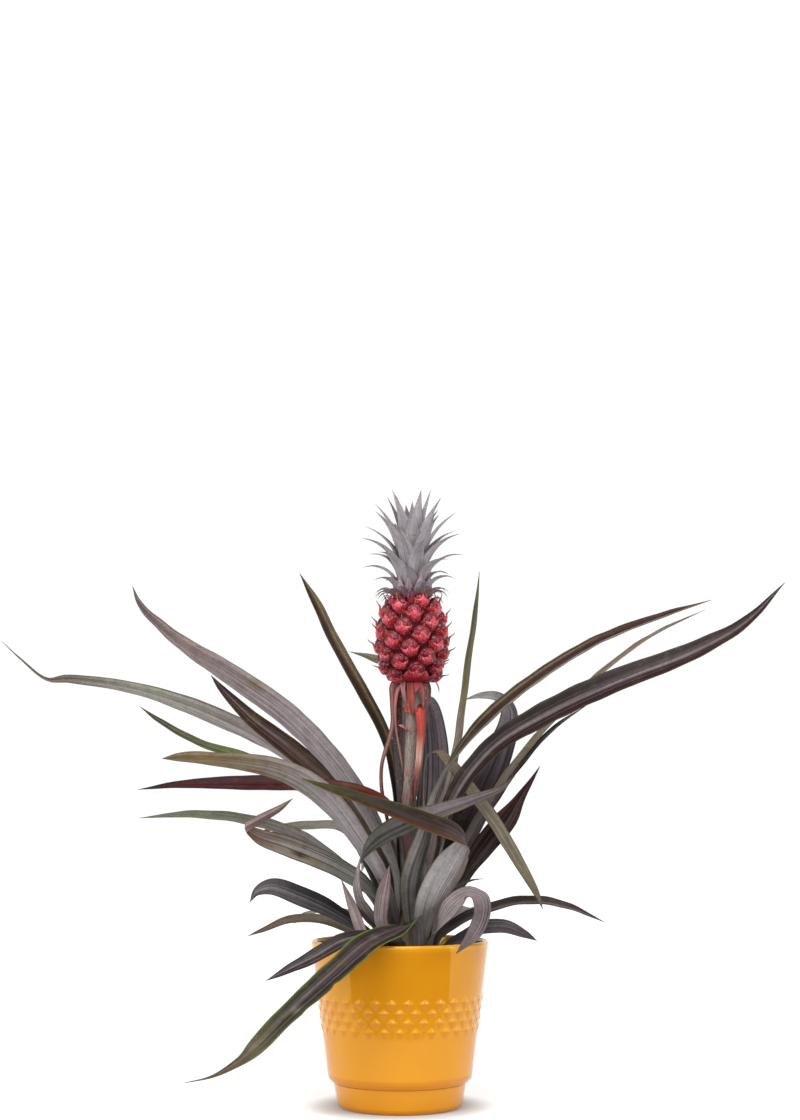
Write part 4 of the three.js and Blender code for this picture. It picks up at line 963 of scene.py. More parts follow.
# The long leaves to the right arch over and show their dark upper side, with a silver strip of
# underside below.
leaf("leaf_right_high", [
    [10, -11, 144, 14], [9, -22, 179, 19], [19, -18, 214, 20], [34.2, -10, 262.6, 19],
    [65.6, -8, 303.4, 18.5], [110, -8, 339.4, 17.5], [156, -10, 366.8, 14.5], [203, -12, 384.8, 9.5],
    [243, -14, 397, 1.2],
], [[-5, 6, 5], [-6, -5, 6], [-5, -5, 7], [-4, -5, 8]],
    ["#4F4E48", "#403C2C", "#2E2218", "#34261C", "#483629", "#442C26", "#402422", "#382020"],
    ["#6C7068", "#7C7A76", "#8C8486", "#8A7E80", "#80706E"], edge="#7A7A44", dust=(0.12, 0.4),
    stripes=[(-0.6, 0.08, "#857A5E", 0.45), (-0.05, 0.35, "#241610", 0.7), (0.74, 0.2, "#A09490", 0.65)])
leaf("leaf_right_far", [
    [19, -8, 139, 14], [28, -26, 193, 19], [40, -24, 241, 22], [70.4, -26, 281.4, 22.5],
    [112.4, -30, 308, 24.5], [161.4, -36, 331, 24.5], [222.4, -40, 354.4, 19.5], [264, -42, 377, 10.5],
    [294, -44, 407, 1.2],
], [[-7, -5, 3], [-5, -7, 5], [-3, -7, 6], [-3, -7, 6]],
    ["#54504E", "#443F3C", "#3A2E2E", "#3A2A2C", "#3C2A2C", "#3E2A2E", "#442E2E", "#3C2628"],
    ["#8E8488", "#8E8285", "#80706E"], edge="#4C5434", dust=(0.12, 0.4),
    stripes=[(-0.6, 0.3, "#201A18", 0.75), (-0.05, 0.12, "#9A9292", 0.5), (0.55, 0.35, "#261416", 0.75)])
leaf("leaf_right_behind_high", [
    [20, 4, 141, 10], [43, 14, 192, 13], [71, 20, 241, 13], [106, 40, 287, 12], [158, 62, 340, 11],
    [207, 76, 377, 8], [253, 80, 399, 1.2],
], [[-5, -3, 8], [-5, -3, 8]],
    ["#6E6662", "#80746F", "#7E7068", "#7A7258", "#7C7254", "#7A6652", "#6E5A50"],
    ["#958A8A", "#93878A", "#8A7E78"], edge="#7A6E50")
leaf("leaf_right_behind_low", [
    [19, 7.8, 139, 10], [50, 30, 197, 12], [73, 38, 236, 11], [98.2, 44, 271, 9], [124, 48, 299, 7],
    [153, 50, 319, 1.2],
], [[-5, -4, 7], [-5, -4, 7]],
    ["#6A6060", "#6A5E60", "#54464A", "#4A3E40", "#4A3836", "#402E2E"],
    ["#958A8D", "#93878A", "#7C6E6E"], edge="#5A4E48")
leaf("leaf_right_broad", [
    [13, 13, 136, 12], [37, 44, 191, 22], [55, 54, 229, 28], [75.6, 60, 268, 26], [88.4, 64, 301.4, 17.5],
    [88.6, 64, 316.6, 12], [80, 63, 325.8, 8], [66.6, 62, 326.8, 5], [53, 62, 323.4, 1.5],
], [[-3, -9, 2], [-1, -9, 1], [-1, -9, 1]],
    ["#45403F", "#2A1F1F", "#261A1A", "#271B1D", "#32272B", "#5C525A", "#8C848C", "#9A9E96"],
    ["#80767A", "#746A6C"], edge="#3E4030", dust=(0.04, 0.4))
leaf("leaf_back_rounded", [
    [8, 11, 142, 13], [19, 34, 201, 24], [26.4, 42, 241, 26], [27.4, 48, 282, 24], [24.6, 54, 310, 19.5],
    [20.8, 66, 323, 16], [17, 84, 325.4, 11], [14, 104, 318, 1.5],
], [[0, -9, 1], [0, -9, 2], [0, -6, 8], [0, 3, 9]],
    ["#3C3435", "#40363A", "#4C4246", "#584E54", "#605862", "#564E54"],
    ["#80767A", "#746A6C"], edge="#4A4E3C")
leaf("leaf_right_dark", [
    [23, 2, 133, 11], [43, 2, 170, 20], [65, 5, 202.6, 24], [84.6, 8, 226.4, 20.5], [94, 10, 241, 10.5],
    [102.6, 10, 254.2, 5], [111, 10, 268, 1.2],
], [[-5, -8, 3], [-5, -8, 3]],
    ["#2C2824", "#2C2620", "#32261E", "#382420", "#442824", "#361E1E"],
    ["#80767A", "#746A6C"], edge="#3A3A28")
leaf("leaf_right_curled", [
    [20, -13, 123, 12], [27, -40, 143, 17], [40, -50, 162, 20], [51.4, -53, 170.4, 17.5],
    [60.4, -60, 167.8, 15], [61.6, -67, 155, 14], [56, -72, 142, 12], [42, -76, 126, 1.5],
], [[-5, -6, 4], [0, -3, 9], [5, -8, 2], [4, -8, 2]],
    ["#6A6662", "#857A7A", "#988C8C", "#988C8C", "#8A7E80", "#5E5254", "#7A6E70", "#5A4E4C"],
    ["#8E8488", "#8A8084"], edge="#847470")
leaf("leaf_right_whisker", [
    [24, -5, 128, 6], [33, -18, 167, 9], [48, -20, 176, 6], [57, -22, 179, 2.5], [65, -23, 180, 1.2],
], [[0, -4, 9], [0, -4, 9]],
    ["#4A4444", "#45403E", "#3C3434"], ["#6E6466", "#5A5052"])
leaf("leaf_low_right_far", [
    [26, 4, 121, 12], [32, 6, 135, 13], [61, 2, 153, 14], [102, -8, 163, 13], [132, -15, 158, 9],
    [159, -20, 146, 1.2],
], [[0, -5, 9], [3, -5, 8]],
    ["#6E6866", "#4E4644", "#443C38", "#423830", "#3E3232", "#342828"],
    ["#857B7E", "#756B6D", "#5E5455"], edge="#5E5A40", dust=(0.03, 0.3),
    stripes=[(0.4, 0.25, "#857A7C", 0.45)])
leaf("leaf_low_right_dark", [
    [26, -8, 119, 12], [38, -24, 130, 15], [58, -37, 141.6, 17], [79, -46, 144.6, 15], [95, -50, 138.8, 8],
    [104, -52, 134, 1.2],
], [[1, -7, 8], [4, -7, 6]],
    ["#484846", "#4C4C4C", "#525052", "#4A484A", "#453A3C", "#3C3234"],
    ["#80767A", "#746A6C"], edge="#4A4840")


# The leaves at the back arch away from the viewer on all sides, as the rosette's spiral has them.
# The photo can't show them, so they take their shapes and tints from those at the front.
leaf("leaf_back_low", [
    [8, 18, 120, 13], [8, 46, 146, 17], [6, 90, 160, 20], [4, 130, 158, 18], [2, 170, 144, 11],
    [0, 198, 124, 1.2],
], [[0, -3, 9], [0, 5, 8]], ["#5A5650", "#4E4A47", "#46393A", "#412C2E"],
    ["#8E8488", "#8A8084", "#746A6C"])
leaf("leaf_back_left_low", [
    [-4, 12, 121, 12], [-14, 34, 144, 15], [-38, 66, 148, 17], [-62, 96, 150, 15], [-80, 120, 144, 9],
    [-91, 136, 135, 1.2],
], [[1, -2, 9], [-3, 4, 8]], ["#5A5650", "#453A36", "#44332E", "#402F2A"],
    ["#8E8488", "#8A8084", "#746A6C"])
leaf("leaf_back_right_low", [
    [21, 14, 120, 12], [31, 34, 140, 15], [48, 64, 151, 18], [61, 96, 152, 15], [69, 126, 143, 9],
    [73, 146, 132, 1.2],
], [[-1, -2, 9], [2, 4, 8]], ["#6A6A60", "#5E5C46", "#55502F", "#4A423C"],
    ["#8E8488", "#858A78", "#746A6C"])
leaf("leaf_back_left_high", [
    [3, 12, 134, 13], [0, 34, 172, 18], [-8, 66, 204, 20], [-16, 104, 214, 19], [-26, 146, 202, 13],
    [-34, 180, 178, 1.2],
], [[0, -4, 9], [0, 5, 8]], ["#4E4A47", "#46393A", "#443234", "#412C2E"],
    ["#8E8488", "#8F8587", "#80706E"])
leaf("leaf_back_right_high", [
    [16, 15, 127, 12], [22, 42, 160, 17], [36, 80, 202, 20], [50, 112, 228, 18], [64, 146, 234, 12],
    [74, 178, 222, 1.2],
], [[-3, -6, 7], [-1, 1, 9]], ["#5A5654", "#4F4E3C", "#5A5A3C", "#4A423C"],
    ["#8E8488", "#8B8E80", "#80706E"])


# The flower stalk is a woody stem, grey-tan and speckled, with pink rings where its bracts have
# come away, and dark red just above the rosette.
STALK_R = 4.7
STALK_LINE = [
    [9, 0, 162, 1.15], [4.6, 0, 205, 1.05], [6, 0, 245, 1.02], [8, 0, 285, 1.12], [9.6, 0, 310, 1.34],
    [9.8, 0, 334.4, 1.42],
]
STALK_NODES_Z = [226, 243, 262, 296, 312]
NODE_SWELL, NODE_PINK = 0.55, "#A85C58"
STALK_COLOURS = [
    "#523236", "#663438", "#704244", "#78564E", "#8A7268", "#9A8A80", "#A0938A", "#9A8C82", "#94867C",
    "#8C7A70",
]
STALK_COLUMNS, STALK_ROWS = 40, 96
stalk_places = np.linspace(0, len(STALK_LINE) - 1, STALK_ROWS + 1)
stalk_points = np.array([through(np.array(STALK_LINE, float), p) for p in stalk_places])


def stalk_corner(column, row):
    x, y, z, swell_share = stalk_points[np.round(row * STALK_ROWS).astype(int)].T
    angle = column * 2 * math.pi
    swell_here = sum(np.exp(-((z - node_z) / 1.6) ** 2) for node_z in STALK_NODES_Z) * NODE_SWELL
    radius = STALK_R * swell_share + swell_here + 0.12 * np.cos(angle * 9 + z * 0.05)
    return np.stack([x + radius * np.cos(angle), y + radius * np.sin(angle), z], axis=1) * MM


def close_ends(piece):
    """Joins a tube's seam and fills its two ends."""
    close_seams(piece)
    bpy.ops.object.mode_set(mode="EDIT")
    bpy.ops.mesh.select_all(action="DESELECT")
    bpy.ops.mesh.select_non_manifold()
    bpy.ops.mesh.fill_holes(sides=0)
    bpy.ops.object.mode_set(mode="OBJECT")


stalk = new_grid("speckled_flower_stalk", STALK_COLUMNS, STALK_ROWS)
place_rows(stalk, stalk_corner)
heights = corners(stalk)[:, 2] / MM
stalk_low, stalk_high = stalk_points[0, 2], stalk_points[-1, 2]
stalk_share = (heights - stalk_low) / (stalk_high - stalk_low)
stalk_tints = between([linear(c) for c in STALK_COLOURS], stalk_share)
for node_z in STALK_NODES_Z:
    stalk_tints = tinted(stalk_tints, NODE_PINK, np.exp(-((heights - node_z - 0.6) / 1.5) ** 2) * 0.65)
set_tint(stalk, "stalk_tint", stalk_tints)
close_ends(stalk)
smooth(stalk, angle=60)

# The bark of the stalk is matt and corky, streaked with grey-brown and dotted with dark pores.
stalk_skin, tree, shader = new_material("speckled_stalk_bark", "#8C8477", 0.6)
tint = add_node(tree, "ShaderNodeAttribute", attribute_name="stalk_tint")
where = add_node(tree, "ShaderNodeTexCoord")
grain_space = add_node(tree, "ShaderNodeMapping", {
    "Vector": where.outputs["Object"], "Scale": (1 / (0.9 * MM), 1 / (0.9 * MM), 1 / (5 * MM)),
})
grain = add_node(tree, "ShaderNodeTexNoise", {
    "Vector": grain_space.outputs["Vector"], "Scale": 1.0, "Detail": 4.0, "Roughness": 0.65,
})
grain_share = add_node(tree, "ShaderNodeMapRange", {
    "Value": grain.outputs["Fac"], "From Min": 0.34, "From Max": 0.6, "To Min": 0.85, "To Max": 0.0,
})
grained = add_node(tree, "ShaderNodeMix", {
    0: grain_share.outputs["Result"], 6: tint.outputs["Color"], 7: linear("#4F4239"),
}, data_type="RGBA")
pores = add_node(tree, "ShaderNodeTexVoronoi", {"Vector": where.outputs["Object"], "Scale": 1 / (2.6 * MM)})
pore_share = add_node(tree, "ShaderNodeMapRange", {
    "Value": pores.outputs["Distance"], "From Min": 0.06, "From Max": 0.16, "To Min": 0.8, "To Max": 0.0,
})
pored = add_node(tree, "ShaderNodeMix", {
    0: pore_share.outputs["Result"], 6: grained.outputs[2], 7: linear("#2E221E"),
}, data_type="RGBA")
rough = add_node(tree, "ShaderNodeBump", {
    "Strength": 0.6, "Distance": 0.0004, "Height": grain.outputs["Fac"],
})
tree.links.new(pored.outputs[2], shader.inputs["Base Color"])
tree.links.new(rough.outputs["Normal"], shader.inputs["Normal"])
stalk.data.materials.append(stalk_skin)
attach(stalk, "root")
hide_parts("flower_stalk")


# Red straps hang from under the fruit round the stalk. They are spent bracts on a fleshy collar:
# bright orange-red while they live, brown where they have dried. Small pointed ones stand between.
STRAPS = [
    # path [x, y, z, width], ways that it faces, colours from the collar to the tip, stripes: pale
    # ones are painted highlights and dark ones painted shade along the strap
    ([[6, -4, 331, 4], [0, -6, 335, 4.5], [-5.4, -7, 332, 5], [-6, -7, 318, 4.2], [-5.6, -7, 302, 4],
      [-8, -8, 290, 4], [-14, -10, 270, 3.2], [-14.5, -11, 252, 3.2], [-10, -12, 226, 3],
      [-3, -13, 196, 1.6]],
     [[0, -2, 9], [-4, -9, 2], [-4, -9, 2], [-6, -8, 2]],
     ["#7A1C26", "#6A2426", "#561E1C", "#5E2420", "#5A2620", "#643A2C", "#563624", "#462C20", "#382222"],
     [(0.2, 0.22, "#B07C70", 0.5), (-0.7, 0.3, "#2A0C0E", 0.7)]),
    ([[8, -5, 330, 4], [4, -8, 333, 4], [-1, -9, 329, 3.5], [-3.6, -9, 318, 2.6], [-3.4, -9, 300, 2],
      [0, -9, 278, 1.8], [2.6, -8, 262, 1.2]],
     [[0, -2, 9], [-3, -9, 2], [-3, -9, 2]],
     ["#8A1E2A", "#A04A4A", "#80342E", "#5E2C26", "#6E4A44", "#5E4A46"],
     [(0.1, 0.25, "#C08A80", 0.5)]),
    ([[12, -5, 311, 8], [14.6, -7.6, 313.6, 9], [15.8, -8.8, 312.2, 9], [16.8, -8.8, 300.5, 8],
      [16.8, -8.6, 291, 6.6], [16, -8.4, 284, 6], [14.8, -8.2, 269, 6], [13.2, -8.2, 260, 6.2],
      [12, -8.2, 250, 5.6], [11, -8, 238, 1.6]],
     [[3, -5, 8], [2, -9, 1], [3, -9, 0], [3, -9, 0]],
     ["#8A1C14", "#B42014", "#AC1C10", "#A43420", "#BA8070", "#C8A698", "#8E5C56", "#48262C", "#342024",
      "#2A1C20"],
     [(-0.8, 0.3, "#3A1412", 0.75), (0.15, 0.25, "#C0562C", 0.4)]),
    ([[10, -4, 331, 5], [17, -6, 335, 5], [21.6, -6.4, 331, 5], [22, -6.4, 320, 4], [20.4, -7, 309, 2]],
     [[0, -4, 9], [4, -8, 2], [4, -8, 2]],
     ["#7E1E26", "#5A2020", "#4E1C1A", "#5A201C", "#5A281E"],
     [(0.3, 0.2, "#A8685E", 0.4)]),
    ([[10, -5, 330, 5], [15, -8, 333, 5.5], [17.6, -9, 326, 5.5], [18, -9, 312, 4.4]],
     [[0, -4, 9], [2, -9, 2]],
     ["#8E1C26", "#8A2026", "#741C1C", "#6A241A"],
     [(-0.2, 0.25, "#C07A72", 0.45)]),
    ([[7.6, -5, 331, 5.4], [8, -8.4, 334, 5.4], [8.4, -9.4, 326, 5.2], [9, -9, 316, 4],
      [10.4, -8.6, 306, 1.2]],
     [[0, -2, 9], [0, -9, 1]],
     ["#9A1A22", "#B4221C", "#B42E22", "#8E2218", "#7A2018"],
     [(0.5, 0.3, "#6A1410", 0.6)]),
    ([[5, -5, 331, 4], [2.6, -9, 334, 4], [2.2, -10, 329, 3.6], [3.4, -10, 321, 2.4], [7, -9.4, 308, 0.9]],
     [[0, -2, 9], [0, -9, 1]],
     ["#9A3A44", "#B47474", "#A86464", "#7E3432", "#6A2826"]),
    ([[12, -5, 331, 5], [14, -9, 334, 6], [13.4, -10, 331, 5], [11.8, -10, 324, 1]],
     [[0, -2, 9], [0, -9, 1]],
     ["#A01C2C", "#B43040", "#B03844", "#962A32"]),
    ([[6, -3.6, 331, 6], [2, -5, 333, 7], [-1.8, -4.5, 322, 8.6], [-1.8, -4, 298, 9],
      [-1, -3, 272, 8], [0.2, -2.4, 250, 6.6], [1.4, -2, 228, 5], [2.4, -2, 206, 1.6]],
     [[-3, -4, 9], [-2, -9, 2], [-2, -9, 2]],
     ["#4A2422", "#3A2220", "#302020", "#2A1C1C", "#3A1E1E"]),
    ([[9, 3, 331, 5], [14, 8, 334, 5], [16, 10, 326, 5], [15.5, 10, 308, 1.5]],
     [[3, 3, 9], [5, 8, 2]],
     ["#A03A38", "#8E4A42", "#7A3A30"]),
    ([[5, 4, 331, 5], [1, 9, 334, 5], [-1, 10.5, 326, 5], [-0.5, 10, 305, 1.5]],
     [[-3, 3, 9], [-5, 8, 2]],
     ["#A03A38", "#94463E", "#74382E"]),
    ([[6, -5, 296, 5], [2.6, -7.6, 298.4, 4.6], [-1.4, -8.6, 299.6, 1]],
     [[-4, -6, 8], [-4, -6, 8]], ["#A84450", "#C06070", "#B47C84"]),
    ([[3, -4.4, 311, 4], [5.6, -6.4, 313.5, 6.5], [7.6, -7, 311, 7], [8.6, -7.2, 308.6, 1]],
     [[0, -9, 3], [0, -9, 3]], ["#B4544A", "#C05A48", "#B8402E"]),
    ([[18, -6, 337, 2.4], [22, -8, 337, 2.2], [27, -9, 334.4, 1.8], [30, -9, 329.4, 1.6],
      [30.6, -9, 325, 0.8]],
     [[0, -4, 9], [5, -5, 5]], ["#8E3A4A", "#7A4A5C", "#7A5468", "#74485A"]),
]

# A bract is papery, ribbed along its length, and fades to pink-brown spots where it dries.
bract_skin, tree, shader = new_material("papery_red_bract", "#B8402C", 0.42)
tint = add_node(tree, "ShaderNodeAttribute", attribute_name="upper_tint")
bract_map = add_node(tree, "ShaderNodeUVMap", uv_map="blade")
where = add_node(tree, "ShaderNodeTexCoord")
rib_space = add_node(tree, "ShaderNodeMapping", {
    "Vector": bract_map.outputs["UV"], "Scale": (1 / (1.6 * MM), 1 / (24 * MM), 1),
})
ribs = add_node(tree, "ShaderNodeTexNoise", {
    "Vector": rib_space.outputs["Vector"], "Scale": 1.0, "Detail": 3.0,
})
rib_share = add_node(tree, "ShaderNodeMapRange", {
    "Value": ribs.outputs["Fac"], "From Min": 0.35, "From Max": 0.65, "To Min": 0.62, "To Max": 1.3,
})
ribbed = add_node(tree, "ShaderNodeVectorMath", {
    0: tint.outputs["Color"], "Scale": rib_share.outputs["Result"],
}, operation="SCALE")
dry_spots = add_node(tree, "ShaderNodeTexNoise", {
    "Vector": where.outputs["Object"], "Scale": 1 / (2.4 * MM), "Detail": 3.0, "Roughness": 0.6,
})
dry_share = add_node(tree, "ShaderNodeMapRange", {
    "Value": dry_spots.outputs["Fac"], "From Min": 0.56, "From Max": 0.7, "To Min": 0.0, "To Max": 0.4,
})
dried = add_node(tree, "ShaderNodeMix", {
    0: dry_share.outputs["Result"], 6: ribbed.outputs["Vector"], 7: linear("#A07068"),
}, data_type="RGBA")
raised = add_node(tree, "ShaderNodeBump", {
    "Strength": 0.5, "Distance": 0.0003, "Height": ribs.outputs["Fac"],
})
tree.links.new(dried.outputs[2], shader.inputs["Base Color"])
tree.links.new(raised.outputs["Normal"], shader.inputs["Normal"])

BRACT_SHEET = 0.8 * MM


def red_bract(name, path, ways, colours, stripes=()):
    """A thin bract with the same skin on both sides."""
    piece = blade(name, path, ways, colours, colours, edge=None, cup=0.12, ripple=0.25, stripes=stripes,
                  across=8, along=8, thick=BRACT_SHEET)
    for slot_index in range(2):
        piece.data.materials[slot_index] = bract_skin
    return piece


straps = [red_bract(f"strap_{number}", *strap) for number, strap in enumerate(STRAPS)]
stalk_bracts = join_pieces(straps, "hanging_red_bracts")
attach(stalk_bracts, "root")
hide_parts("stalk_bracts")

# The collar is a short fleshy cone of bract feet, grown together round the top of the stalk. The
# straps hang from it, and the fruit sits on it.
COLLAR_X, COLLAR_LOW_Z, COLLAR_TOP_Z = 7.6 * MM, 327 * MM, 336 * MM
COLLAR_LOW_R, COLLAR_TOP_R = 6.4 * MM, 9.4 * MM


def new_cone(name, low_r, top_r, low_z, top_z, x):
    """A cut-off cone that stands from one height to another."""
    bpy.ops.object.select_all(action="DESELECT")
    bpy.ops.mesh.primitive_cone_add(
        vertices=32, radius1=low_r, radius2=top_r, depth=top_z - low_z,
        location=(x, 0, (low_z + top_z) / 2),
    )
    cone = bpy.context.object
    cone.name = name
    bpy.ops.object.transform_apply(location=True, rotation=True, scale=True)
    return cone


collar = new_cone("bract_collar", COLLAR_LOW_R, COLLAR_TOP_R, COLLAR_LOW_Z, COLLAR_TOP_Z, COLLAR_X)
# Its flesh is dark red and folded, with a dull skin.
collar_skin = mottled("fleshy_red_collar", "#7A2A2C", 0.5, "#4E1A1E", "#A8484A", 2 * MM, 3.0)[0]
collar.data.materials.append(collar_skin)
smooth(collar, angle=60)
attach(collar, "root")


# The fruit is a barrel of fleshy eyes on a spiral, each one flower's fruit. A glossy dark dome, with
# the dried flower's arch on it, sits behind a fleshy pink bract, whose wings clasp the dome and whose
# middle stands up over it and ends in a dry spine.
FRUIT_X = 9.4
FRUIT_LOW_Z, FRUIT_TOP_Z = 334.7, 398.5
FRUIT_WIDEST_Z, FRUIT_R = 365, 25.5
FRUIT_ROUND_UP, FRUIT_ROUND_DOWN = 46, 40
FLESH_INSET = 1.8
GOLDEN_ANGLE = 137.508
EYES = 47
EYE_RISE, EYE_FIRST_Z, EYE_FIRST_ANGLE = 1.3, 337.8, -133.7
EYE_TWIST = 9


def fruit_radius(z):
    half = FRUIT_ROUND_UP if z > FRUIT_WIDEST_Z else FRUIT_ROUND_DOWN
    share = min(1, abs(z - FRUIT_WIDEST_Z) / half)
    return FRUIT_R * math.sqrt(1 - share * share)


bpy.ops.object.select_all(action="DESELECT")
bpy.ops.mesh.primitive_uv_sphere_add(segments=64, ring_count=40, radius=1)
flesh = bpy.context.object
flesh.name = "fruit_flesh"
for vertex in flesh.data.vertices:
    z = FRUIT_LOW_Z + 0.3 + (vertex.co.z + 1) / 2 * (FRUIT_TOP_Z - FRUIT_LOW_Z - 0.6)
    spread = math.hypot(vertex.co.x, vertex.co.y)
    reach = (fruit_radius(z) - FLESH_INSET) * min(1, spread * 2.2)
    direction = math.atan2(vertex.co.y, vertex.co.x)
    vertex.co = Vector((FRUIT_X + reach * math.cos(direction), reach * math.sin(direction), z)) * MM
smooth(flesh)


def eye_part(name, columns, rows, corner, shade):
    """A grid placed by corner, with a shade from 0 to 1 at each vertex. Both take columns and rows."""
    piece = new_grid(name, columns, rows)
    at = corners(piece)
    attribute = piece.data.attributes.new("shade", "FLOAT", "POINT")
    attribute.data.foreach_set("value", np.clip(shade(at[:, 0] + 0.5, at[:, 1] + 0.5), 0, 1))
    place_rows(piece, corner)
    return piece


# The dome is the hard top of one flower's fruit. It bulges out of the barrel, with a low ridge and
# a groove round its middle, where the dried flower closed.
DOME_HALF, DOME_HIGH, DOME_OUT, DOME_LIFT = 7.8, 6.6, 5.2, 2.2
DOME_RIDGE = 0.42


def dome_corner(column, row):
    angle = column * 2 * math.pi
    far = row * 1.12
    rim = np.clip(1 - far ** 2.4, -0.35, 1)
    ridge = np.exp(-((far - 0.78) / 0.07) ** 2)
    hollow = np.exp(-((far - 0.62) / 0.06) ** 2)
    out = DOME_OUT * np.sign(rim) * np.abs(rim) ** 0.62 + DOME_RIDGE * (ridge - hollow)
    across = DOME_HALF * np.minimum(far, 1) * np.cos(angle)
    up = DOME_HIGH * np.minimum(far, 1) * np.sin(angle) + DOME_LIFT
    return np.stack([out - 0.2, across, up], axis=1) * MM


# Its colour runs from a paler middle to near black red at its rim: partly its own colour, and partly
# painted shade where it curves down into the gaps between the eyes.
dome = eye_part("dome", 28, 18, dome_corner, lambda column, row: 1.15 - row * 1.5)
close_seams(dome)
smooth(dome)

# The bract is the fleshy scale under one flower. Its lower edge is round, and its upper edge runs
# from the wings down and up the tip.
BRACT_HALF, BRACT_THICK = 8.0, 1.0 * MM


def bract_corner(column, row):
    side = column * 2 - 1
    bend = np.abs(side)
    low = -8.2 + 2.8 * side ** 2 + 7.0 * side ** 6
    high = -2.6 + 4.2 * bend ** 1.7 + 6.6 * np.exp(-(bend / 0.3) ** 1.3)
    up = low + (high - low) * row
    swell = np.sin(np.minimum(row * 1.5, 1) * math.pi / 2) - 0.25 * np.clip(row - 0.7, 0, 1)
    tip = np.exp(-(bend / 0.3) ** 2) * np.clip((up + 2.2) / 5.6, 0, 1)
    out = -1.7 + 7.6 * swell - 3.8 * side ** 2 + 1.6 * tip ** 1.3
    return np.stack([out, side * BRACT_HALF, up], axis=1) * MM


# Pink along the middle and deep red at the edges: partly the bract's own blush, and partly a painted
# highlight along its middle ridge.
def bract_blush_and_ridge_highlight(column, row):
    bend = np.abs(column * 2 - 1)
    return np.exp(-(bend / 0.36) ** 2) * (1.3 - np.abs(row - 0.5) * 2.9)


bract = eye_part("bract", 20, 12, bract_corner, bract_blush_and_ridge_highlight)
wall = bract.modifiers.new("wall", "SOLIDIFY")
wall.thickness = BRACT_THICK
wall.offset = -1
bpy.ops.object.modifier_apply(modifier="wall")
smooth(bract)

# The spine is the bract's thin dry end, brown and hard. It leaves the bract's tip and curls out
# and up.
SPINE_LENGTH, SPINE_R = 7.8, 0.75
SPINE_LEAN, SPINE_CURL = math.radians(52), math.radians(16)


def spine_corner(column, row):
    angle = column * 2 * math.pi
    radius = SPINE_R * (1 - row) ** 0.6 + 0.08
    lean = SPINE_LEAN - SPINE_CURL * np.sin(row * math.pi * 0.8)
    out = 5.6 + SPINE_LENGTH * row * np.cos(lean) * 0.9 + radius * np.cos(angle) * 0.8
    up = 2.4 + SPINE_LENGTH * row * np.sin(lean) - radius * np.cos(angle) * 0.5
    return np.stack([out, radius * np.sin(angle) + 0.5 * row ** 2, up], axis=1) * MM


spine = eye_part("spine", 7, 9, spine_corner, lambda column, row: row * 1.3)
close_ends(spine)
smooth(spine)


def set_round_fruit(name, model, first_size, last_size):
    """Copies of a piece of an eye, one for each eye, joined to one piece of the fruit."""
    chance = random.Random(4)
    copies = []
    for i in range(EYES):
        z = EYE_FIRST_Z + i * EYE_RISE
        angle = math.radians(EYE_FIRST_ANGLE + i * GOLDEN_ANGLE)
        lean = math.atan((fruit_radius(z - 1) - fruit_radius(z + 1)) / 2)
        share = i / (EYES - 1)
        size = first_size + (last_size - first_size) * share - 0.1 * abs(share * 2 - 1)
        matrix = (
            Matrix.Translation(Vector((FRUIT_X, 0, z)) * MM)
            @ Matrix.Rotation(angle, 4, "Z")
            @ Matrix.Translation(((fruit_radius(z) - 1) * MM, 0, 0))
            @ Matrix.Rotation(-lean, 4, "Y")
            @ Matrix.Rotation(math.radians(chance.uniform(-EYE_TWIST, EYE_TWIST)), 4, "X")
            @ Matrix.Scale(size, 4)
        )
        mesh = model.data.copy()
        mesh.transform(matrix)
        copy = bpy.data.objects.new(f"{name}_{i}", mesh)
        bpy.context.scene.collection.objects.link(copy)
        copies.append(copy)
    bpy.data.objects.remove(model)
    return join_pieces(copies, name)


domes = set_round_fruit("fruit_eye_domes", dome, 1.04, 0.86)
bracts = set_round_fruit("fruit_bracts", bract, 0.96, 0.98)
spines = set_round_fruit("fruit_spines", spine, 0.96, 0.98)


def fruit_skin(name, inner, outer, roughness, coat, speckle, speckle_share):
    """A fruit's skin: one colour where its shade is 1, another where it's 0, and fine speckles."""
    material, tree, shader = new_material(name, inner, roughness)
    shade = add_node(tree, "ShaderNodeAttribute", attribute_name="shade")
    where = add_node(tree, "ShaderNodeTexCoord")
    mottle = add_node(tree, "ShaderNodeTexNoise", {
        "Vector": where.outputs["Object"], "Scale": 1 / (1.3 * MM), "Detail": 4.0, "Roughness": 0.7,
    })
    drift = add_node(tree, "ShaderNodeMapRange", {
        "Value": mottle.outputs["Fac"], "From Min": 0.3, "From Max": 0.7, "To Min": -0.3, "To Max": 0.3,
    })
    moved = add_node(tree, "ShaderNodeMath", {
        0: shade.outputs["Fac"], 1: drift.outputs["Result"],
    }, operation="ADD", use_clamp=True)
    mixed = add_node(tree, "ShaderNodeMix", {
        0: moved.outputs["Value"], 6: linear(outer), 7: linear(inner),
    }, data_type="RGBA")
    bloom = add_node(tree, "ShaderNodeTexNoise", {
        "Vector": where.outputs["Object"], "Scale": 1 / (0.9 * MM), "Detail": 3.0,
    })
    bloom_share = add_node(tree, "ShaderNodeMapRange", {
        "Value": bloom.outputs["Fac"], "From Min": 0.54, "From Max": 0.7,
        "To Min": 0.0, "To Max": speckle_share,
    })
    bloomed = add_node(tree, "ShaderNodeMix", {
        0: bloom_share.outputs["Result"], 6: mixed.outputs[2], 7: linear(speckle),
    }, data_type="RGBA")
    pimples = add_node(tree, "ShaderNodeBump", {
        "Strength": 0.35, "Distance": 0.0003, "Height": mottle.outputs["Fac"],
    })
    tree.links.new(bloomed.outputs[2], shader.inputs["Base Color"])
    tree.links.new(pimples.outputs["Normal"], shader.inputs["Normal"])
    shader.inputs["Specular IOR Level"].default_value = 0.3
    shader.inputs["Coat Weight"].default_value = coat
    shader.inputs["Coat Roughness"].default_value = 0.08
    return material


